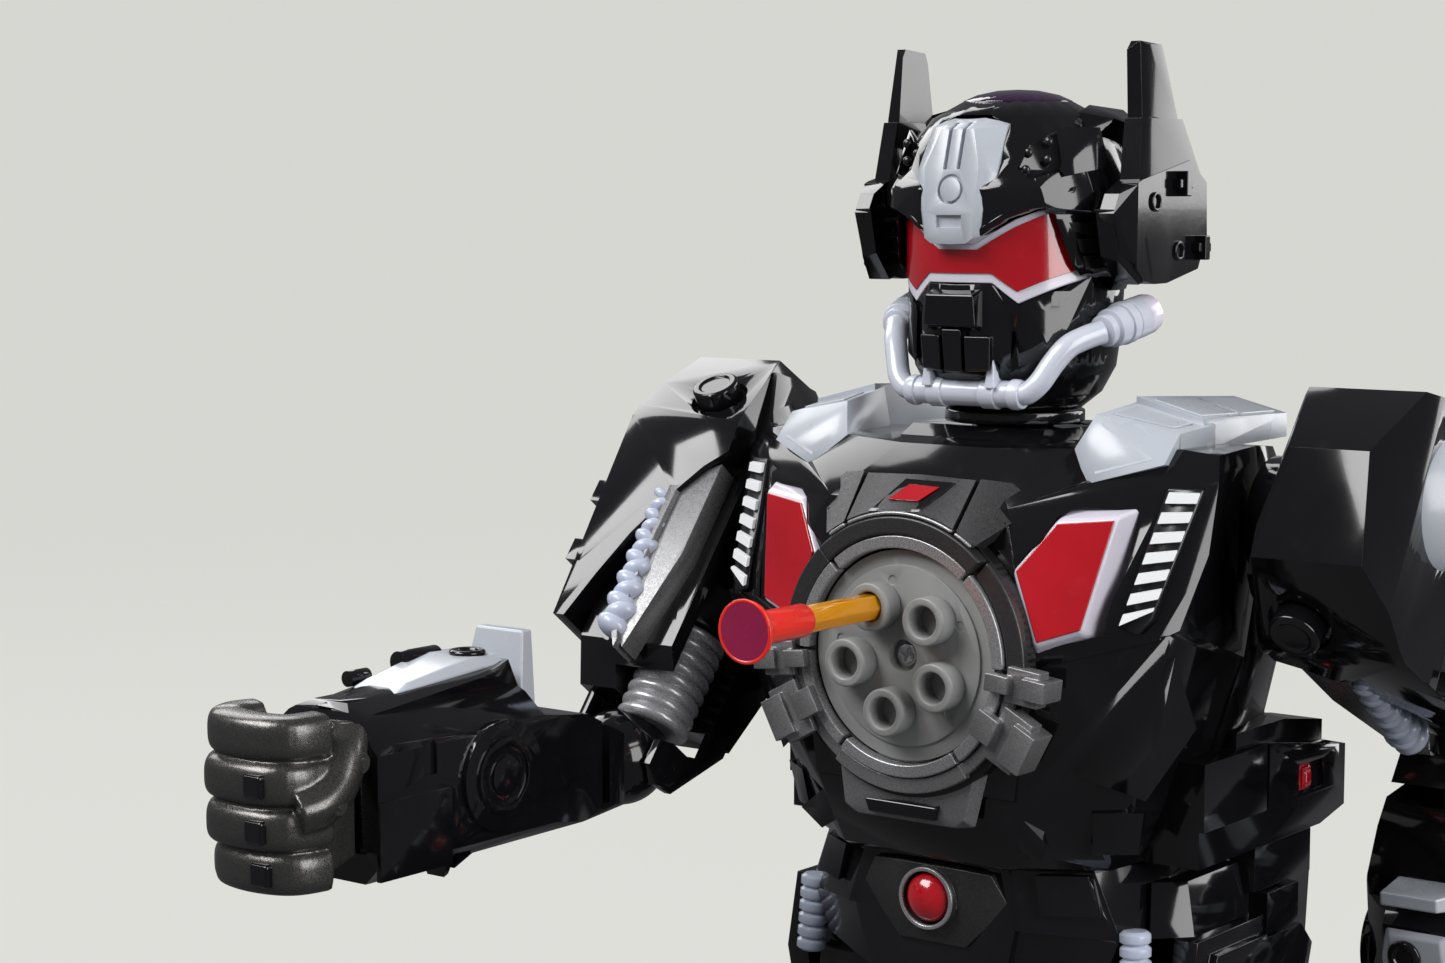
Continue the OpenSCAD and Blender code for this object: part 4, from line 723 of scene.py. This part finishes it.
def visor():
    """The white frame of the visor and its red face."""
    frame_band = visor_band(VISOR_LOW, VISOR_HIGH, 24.7, VISOR_R, 24.6)
    frame_band.piece("visor_frame", "white_frame", "head", 0.35, 3, swap=("visor",))
    red = visor_band(RED_LOW, RED_HIGH, 25.0, VISOR_R + 0.3, 23.4)
    red.piece("visor_face", "red_gloss", "head", 0.12, 2)


def round_head(radius, angle, z):
    """A place on a cylinder round the neck axis, by its angle from the front."""
    t = math.radians(angle)
    return (radius * math.sin(t), NECK_Y - radius * math.cos(t), z)


def louvres():
    """Four slats on each temple, from the visor's end back to the ear box."""
    slats = Draft()
    starts = [(337.4, 51), (333.6, 56.5), (329.8, 61), (326, 64.5), (322.2, 67.5)]
    for side in SIDES:
        slats.space = side_space(side)
        for (top, a_top), (low, a_low) in zip(starts, starts[1:]):
            rows = []
            for i in range(9):
                share = i / 8
                hi = a_top + (93 - a_top) * share
                lo = a_low - 1.2 + (96 - a_low) * share
                out = 27.7 + 0.6 * share
                rows.append([round_head(out, lo, low + 0.7), round_head(out + 0.5, hi, top),
                    round_head(24.6, hi, top), round_head(24.6, lo, low + 0.7)])
            slats.loft(rows)
    slats.piece("temple_slats", "satin_black", "head", 0.25, 2)


def rivets():
    """Four round heads in each pocket of the helmet."""
    mesh = bpy.data.meshes.new("rivet_places")
    spots = [(19.1, -9.6, 351.6), (15.0, -11.6, 349.2), (19.0, -9.8, 347.6), (15.2, -12.9, 345.3)]
    mesh.from_pydata([(s * x, y, z) for s in (-1, 1) for x, y, z in spots], [], [])
    grown("pocket_rivets", mesh, SPOTS_TREE, "satin_black", "head", BODY_SPACE, Radius=1.15, Flatness=0.75)


def brow_step():
    """A second edge over the brow, from the crest to the temple."""
    lip = Draft()
    for side in SIDES:
        lip.space = side_space(side)
        rows = []
        for i in range(15):
            x = 6.4 + 18 * i / 14
            z = profile_at([(4.8, 328.9), (13, 334.2), (17.7, 336.6), (21, 338), (25, 339.4)], x)
            r = 28.1 + 0.5 * math.sin(math.pi * i / 14)
            rows.append([on_head(r, x, z + 0.3), on_head(r + 0.7, x, z + 1.2), on_head(r + 0.1, x, z + 2.6),
                on_head(26, x, z + 2.6), on_head(26, x, z + 0.3)])
        lip.loft(rows)
    lip.piece("brow_step", "gloss_black", "head", 0.3, 3)


def mask_blocks():
    """The T-shaped block on the mask and the two plates beside its stem."""
    blocks = Draft()
    blocks.twin_hull((
        (6.4, -20.9, 317.2), (6.9, -17, 318.6), (6.9, -20.7, 310), (6.2, -17, 308.6), (6.9, -15, 309)))
    blocks.twin_hull((
        (2.6, -20.2, 309.4), (2.4, -19, 299.6), (2.6, -15, 309.4), (2.4, -13, 299)))
    for side in SIDES:
        blocks.space = side_space(side)
        blocks.hull([(3.3, -19.9, 307.9), (9.4, -18.4, 307.9), (9, -17.8, 300), (3.3, -19, 299.6),
            (3.3, -14, 307.9), (9.4, -13, 307.9), (9, -12, 300), (3.3, -12, 299.6)])
    blocks.piece("mask_blocks", "gloss_black", "head", 0.5, 3)


def mouth_tube():
    """The white tube round the jaw: bar with collars, bent arms, stepped canisters and two fins."""
    tubes = Draft()
    bar = [(-15.8, 2.2), (-15.4, 3.2), (-14.2, 3.55), (-12.8, 3.55), (-12.6, 3.1), (-9.2, 3.1),
        (-9, 3.6), (-5.2, 3.6), (-5, 3.15)]
    bar += [(-x, r) for x, r in reversed(bar)]
    tubes.turned((0, -13.2, 294.6), (1, 0, 0), bar, 32)
    caps = Draft()
    for side in SIDES:
        tubes.space = caps.space = side_space(side)
        route = smooth_path([(14.6, -13.4, 294.6), (16.8, -13.2, 295.2), (19.2, -12.2, 297.6),
            (21.4, -10, 302), (23.6, -7.4, 305.6), (26, -3.6, 307.6), (28.2, -0.2, 308.8)], 6)
        tubes.tube(route, lambda share: 2.55 + 0.25 * share, 22)
        axis = Vector((3.2, 15.4, 3.9))
        can = [(-1.2, 2.9), (-0.8, 3.7), (0.4, 3.9), (0.6, 3.4), (1.2, 3.4), (1.6, 4.5), (4.6, 4.7),
            (4.7, 4.3), (5.1, 4.3), (5.2, 4.95), (7.4, 4.95), (7.5, 4.5), (7.9, 4.5), (8, 4.8),
            (11.6, 4.8)]
        tubes.turned((28.4, 0.6, 309.1), axis, can, 36)
        cap = [(11.2, 4.3), (11.6, 4.75), (14, 4.7), (15.4, 4.3), (16.2, 3.4), (16.5, 2.0)]
        caps.turned((28.4, 0.6, 309.1), axis, cap, 36)
        tubes.hull([(7.4, -17.2, 296), (9.8, -17.2, 296), (9.8, -13.6, 296.4), (7.4, -13.6, 296.4),
            (7.6, -16.4, 300), (9.6, -16.4, 300), (8.3, -16.2, 303.8), (8.9, -16.2, 303.8),
            (8.9, -15, 302.6), (8.3, -15, 302.6)])
    tubes.piece("mouth_tube", "tube_white", "head", 0.25, 2, 32, swap=("cheek_hoses",))
    caps.piece("canister_caps", "white_frame", "head", 0.0)


# ---------- arms ----------


def arm_parts(side):
    """Twisted hose and ribbed bellows of one upper arm."""
    body = "upper_arm_" + side
    space = arm_space(side)
    hose = space @ Matrix.Translation((83.8, -25.2, -21)) @ Matrix.Rotation(math.radians(180.5), 4, "X")
    hose = hose @ Matrix.Rotation(math.radians(-4.6), 4, "Y") @ Matrix.Translation((0, 1.6, 1.2))
    count, pitch = 13, 3.1
    bead = bead_mesh(radius=3.0, height=1.85, tilt=22)
    grown("twisted_hose_" + side, bead, ROW_TREE, "hose_blue", body, hose,
        swap=("arm_hoses_" + side,), Count=count, Step=(0, 0, pitch), Turn=math.pi, Growth=0.05)
    ribs, steps, length = 8, 6, 26.6
    end_r, low_r, swell = 7.4, 8.0, 1.3
    profile = [(0, end_r)]
    for i in range(ribs):
        for share in (k / steps for k in range(steps)):
            rise = math.sin(math.pi * share) ** 0.7
            profile.append((length * (i + share) / ribs, low_r + swell * rise))
    profile.append((length, end_r))
    bellows = Draft(space)
    bellows.turned((75, -6.4, -75.8), (0, 0, 1), profile, 40)
    bellows.piece("bellows_" + side, "silver_paint", body, 0.0, angle=60)
    stud = Draft(space)
    out = (0, -0.911, 0.413)
    stud.turned((81, -26.9, 7.6), out, [(-1, 5.9), (3.6, 5.9), (4.2, 5.3), (4.2, 4.1), (3.7, 3.7)], 40)
    stud.turned((92.4, -20.6, 14.6), (0.5, -0.7, 0.5), [(-2, 3.2), (1.2, 3.2), (1.6, 2.8)], 32)
    stud.piece("shoulder_studs_" + side, "gloss_black", body, 0.25, 3)


def finger_route(z, front, inset):
    """Path of a curled finger, from its knuckle round the front and back to the palm."""
    y = -FOREARM
    return smooth_path([(88.6 - inset, y - 9, z), (90 - inset, y - 14, z),
        (86.6 - inset, y - front + 1.6, z), (77, y - front, z), (69.5, y - front + 2.2, z),
        (67.4, y - 11, z)], 7)


def moulded_fist(side):
    """A closed hand in one moulding: palm, four squared fingers and the thumb laid over them."""
    body = "fist_" + side
    hand = Draft(forearm_space(side))
    y = -FOREARM
    hand.hull([(68, y - 0.8, -4), (90, y - 0.8, -4), (91, y - 0.8, 24), (68, y - 0.8, 25),
        (66.6, y - 12, -6.6), (91.4, y - 12, -6.6), (92, y - 12, 26), (67, y - 12, 27),
        (70, y - 21, -5), (88, y - 21, -5), (88, y - 21, 25), (70, y - 21, 26)])

    def plump(share):
        return 4.7 * (1 - 0.06 * math.exp(-(((share - 0.36) / 0.025) ** 2)))

    for z, front, inset in ((24, 20.8, 0.4), (14.6, 21.6, 0), (5, 21.4, 0.2), (-4.3, 20, 1.2)):
        hand.tube(finger_route(z, front, inset), plump, 32, 3.4, (0, 0, 1))
    thumb = smooth_path([(69, y - 3.4, 21.6), (66.4, y - 6, 18.6), (64.6, y - 10, 13.4),
        (64.2, y - 15, 10.2), (66, y - 20, 9)], 6)
    hand.tube(thumb, lambda share: 5.4 - 1.0 * share, 28, 2.6)
    mesh = bpy.data.meshes.new("hand")
    bmesh.ops.recalc_face_normals(hand.bm, faces=hand.bm.faces)
    hand.bm.to_mesh(mesh)
    hand.bm.free()
    seed = bpy.data.objects.new("hand.seed", mesh)
    bpy.context.scene.collection.objects.link(seed)
    fuse = seed.modifiers.new("fuse", "REMESH")
    fuse.mode = "VOXEL"
    fuse.voxel_size = 0.42 * MM
    soften = seed.modifiers.new("soften", "SMOOTH")
    soften.factor = 0.5
    soften.iterations = 5
    graph = bpy.context.evaluated_depsgraph_get()
    made = bpy.data.meshes.new_from_object(seed.evaluated_get(graph), depsgraph=graph)
    bpy.data.objects.remove(seed)
    made.materials.clear()
    finish_piece("moulded_fist_" + side, made, "gunmetal", body, 0, 2, 60, ("fist_" + side,))
    trim = Draft(forearm_space(side))
    for z, front in ((14.6, 21.6), (5, 21.4), (-4.3, 20)):
        trim.box((69.6, y - front - 4.9, z - 2.5), (75, y - front - 2, z + 2.5))
    trim.piece("finger_buttons_" + side, "gloss_black", body, 0.8, 3)
    pins = Draft(forearm_space(side))
    for place, r in (((61.4, y - 5.4, 17.6), 2.5), ((60, y - 13.2, 10), 2.2)):
        pins.turned(place, (1, 0, 0), [(-0.5, r - 0.3), (0, r), (3.4, r)], 28)
        pins.turned(place, (1, 0, 0), [(-0.8, r - 1.5), (-0.6, r - 1.2), (0, r - 1.1)], 24)
    pins.piece("thumb_pins_" + side, "gunmetal", body, 0.15, 2)


def forearm_top(side):
    """Light grey cover, fin and knob on the back of a forearm."""
    body = "forearm_" + side
    cover = Draft(forearm_space(side))
    cover.hull([(73, -84, 27.6), (87, -84, 27.6), (71, -58, 30.4), (90, -58, 30.4), (74, -80, 29.4),
        (86, -80, 29.4), (73.5, -60, 32.6), (88, -60, 32.6), (74, -51, 32.4), (87, -51, 32.4),
        (72, -49, 30), (89, -49, 30)])
    cover.hull([(69.4, -48, 14), (90.6, -48, 14), (90.6, -42.2, 14), (69.4, -42.2, 14), (74, -42, 36.4),
        (88.4, -42, 36.4), (88.4, -38.6, 36.4), (74, -38.6, 36.4)])
    cover.piece("forearm_cover_" + side, "pale_grey", body, 0.6, 3)
    knob = Draft(forearm_space(side))
    knob.turned((78, -56, 32), (0, 0, 1), [(0, 4.2), (1.2, 4.2), (1.6, 3.8), (1.6, 2.6), (1.0, 2.2)], 32)
    knob.piece("forearm_knob_" + side, "gloss_black", body, 0.2, 2)


def ear_boxes():
    """Ear plates with tall stepped fins, rings and clips."""
    ears, trim = Draft(), Draft()
    plate = [(-1, 323.2), (-1, 342.4), (0.8, 343.1), (23, 347.7), (30.9, 342.6), (31.4, 330.4),
        (27.3, 322.7), (12.6, 319.7), (7, 319.6), (2, 320.4)]
    lip = ((38.1, 1.5), (38.1, 2.2), (37, 2.3), (37, 1.4))
    for side in SIDES:
        ears.space = trim.space = side_space(side)
        ears.loft([[(37.4, y, z) for y, z in plate], [(31.4, y, z) for y, z in plate]])
        ears.hull([(37.3, -1, 324), (37.3, -1, 342), (35.2, -8, 335.6), (35.2, -5.6, 340),
            (35.2, -5, 326.6), (31.4, -8, 335.6), (31.4, -5.6, 340), (31.4, -5, 326.6), (31.4, 0, 323),
            (31.4, 0, 343)])
        ears.hull([(31.5, 0.8, 342), (36.2, 1.4, 342), (37.2, 5, 342), (37.2, 29, 343.4),
            (31.5, 29, 343.4), (31, 3.6, 357), (35.2, 4, 357), (36.2, 7, 357), (36, 21.4, 357),
            (31.2, 21.4, 357)])
        ears.hull([(31.2, 4.6, 357.5), (34.7, 5, 357.5), (35.6, 7.8, 357.5), (35.4, 20, 357.5),
            (31.6, 20, 357.5), (31.2, 4.6, 356), (34.7, 5, 356), (35.4, 20, 356), (30.5, 5, 372.4),
            (30.7, 6.5, 374.4), (33.1, 6.5, 374.4), (33.9, 8, 373.8), (33.7, 15.3, 373.8),
            (31, 15.3, 373.8), (33.9, 16.5, 371.4), (31, 16.5, 371.4)])
        # block in front of the plate, with its long front facet
        ears.hull([(30.6, -8.2, 336.4), (35, -7.8, 336.4), (36.8, -3, 337.4), (31, -2, 338),
            (30.6, -5.6, 326), (34.8, -5.2, 325), (36.9, 0.6, 319.6), (31, 0.6, 319.6), (37.5, 3, 330),
            (37.5, 6, 321.6), (31, 7, 321.6)])
        for y, z in ((6.7, 338.2), (17.7, 327)):
            rings, turns = [], 28
            for t in (2 * math.pi * k / turns for k in range(turns)):
                c, n = math.cos(t), math.sin(t)
                rings.append([(x, y + r * c, z + r * n) for x, r in lip])
            trim.loft(rings, True)
        trim.box((37, 14.6, 341.2), (39.6, 20.6, 343.4))
        trim.box((37, 16.4, 339.4), (40.3, 18.6, 345.2))
        trim.box((37, 24, 326.6), (39.6, 29.6, 328.8))
        trim.box((37, 25.6, 324.8), (40.3, 27.8, 330.4))
    ears.piece("ear_boxes", "gloss_black", "head", 0.45, 3, 20, swap=("ear_fins",))
    trim.piece("ear_trim", "gloss_black", "head", 0.3, 2)


def waist_ring():
    """A thin silver ring round the belly button."""
    low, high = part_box("belly_button")
    radius = (high.x - low.x) / 2 / MM
    centre = (high.z + low.z) / 2 / MM
    front = (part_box("belly_plate")[0].y - ZERO_Y) / MM
    ring = Draft().arc(radius + 0.5, radius + 1.5, 0, 360, front - 0.5, front + 3, (0, centre))
    ring.piece("button_ring", "silver_edge", "pelvis", 0.3, 3)


chest_lights()
stripe_bars()
pad_panels()
chest_ring()
badge()
dart_cup_painted_shade()
visor()
louvres()
rivets()
brow_step()
mask_blocks()
mouth_tube()
ear_boxes()
waist_ring()
for side in SIDES:
    arm_parts(side)
    moulded_fist(side)
    forearm_top(side)

# ---------- stage, light and camera ----------


def plain_stage():
    """A pale floor that curves up into a wall all round."""
    mat = bpy.data.materials.new("stage_paper")
    mat.use_nodes = True
    shader = mat.node_tree.nodes["Principled BSDF"]
    shader.inputs["Base Color"].default_value = (0.06, 0.06, 0.058, 1)
    shader.inputs["Roughness"].default_value = 1.0
    shader.inputs["Specular IOR Level"].default_value = 0.0
    shader.inputs["Emission Color"].default_value = (0.665, 0.665, 0.632, 1)
    shader.inputs["Emission Strength"].default_value = 1.0
    flat, rise, sides = 2.4, 3.0, 96
    rows = [(flat * share, 0.0) for share in (0.2, 0.6, 1.0)]
    bends = [math.pi / 32 * k for k in range(1, 17)]
    rows += [(flat + rise * math.sin(t), rise * (1 - math.cos(t))) for t in bends]
    bm = bmesh.new()
    rings = []
    for radius, height in rows:
        turns = [2 * math.pi * k / sides for k in range(sides)]
        rings.append([bm.verts.new((radius * math.cos(t), radius * math.sin(t), height)) for t in turns])
    bm.faces.new(rings[0])
    for low_ring, high_ring in zip(rings, rings[1:]):
        for i in range(sides):
            j = (i + 1) % sides
            bm.faces.new([low_ring[i], low_ring[j], high_ring[j], high_ring[i]])
    bmesh.ops.recalc_face_normals(bm, faces=bm.faces)
    mesh = bpy.data.meshes.new("floor")
    bm.to_mesh(mesh)
    bm.free()
    mesh.shade_smooth()
    floor = bpy.data.objects.new("floor", mesh)
    bpy.context.scene.collection.objects.link(floor)
    mesh.materials.append(mat)
    floor.visible_diffuse = False
    floor.visible_glossy = False
    floor.visible_transmission = False
    floor.visible_shadow = False


def softbox(name, place, aim, size, power):
    """A white rectangle of light that faces a point."""
    data = bpy.data.lights.new(name, "AREA")
    data.shape = "RECTANGLE"
    data.size, data.size_y = size
    data.energy = power
    lamp = bpy.data.objects.new(name, data)
    bpy.context.scene.collection.objects.link(lamp)
    lamp.location = place
    lamp.rotation_euler = (Vector(aim) - Vector(place)).to_track_quat("-Z", "Y").to_euler()


def studio():
    """Dim pale surroundings and four softboxes."""
    world = bpy.data.worlds.new("studio")
    bpy.context.scene.world = world
    world.use_nodes = True
    back = world.node_tree.nodes["Background"]
    back.inputs["Color"].default_value = (0.95, 0.96, 1.0, 1)
    back.inputs["Strength"].default_value = 0.12
    chest = (0, 0, 0.27)
    softbox("key", (-0.65, -0.94, 1.4), chest, (1.2, 0.8), 28)
    softbox("side", (1.4, -0.2, 0.7), chest, (0.9, 1.2), 18)
    softbox("top", (-1.2, 0.5, 1.15), chest, (0.9, 1.0), 9)
    softbox("rim", (0.7, 1.3, 0.8), chest, (1.0, 1.0), 12)


def camera():
    """A long-lens view from the robot's left front, a little above its chest."""
    data = bpy.data.cameras.new("camera")
    data.lens, data.sensor_width = 70.4, 36
    data.clip_start, data.clip_end = 0.01, 50
    cam = bpy.data.objects.new("camera", data)
    bpy.context.scene.collection.objects.link(cam)
    cam.location = BODY_SPACE @ Vector((353.8, -560.0, 339.5))
    cam.rotation_euler = (math.radians(90 - 5.77), 0, math.radians(37.84))
    bpy.context.scene.camera = cam


plain_stage()
studio()
camera()
bpy.context.scene.view_settings.view_transform = "Standard"
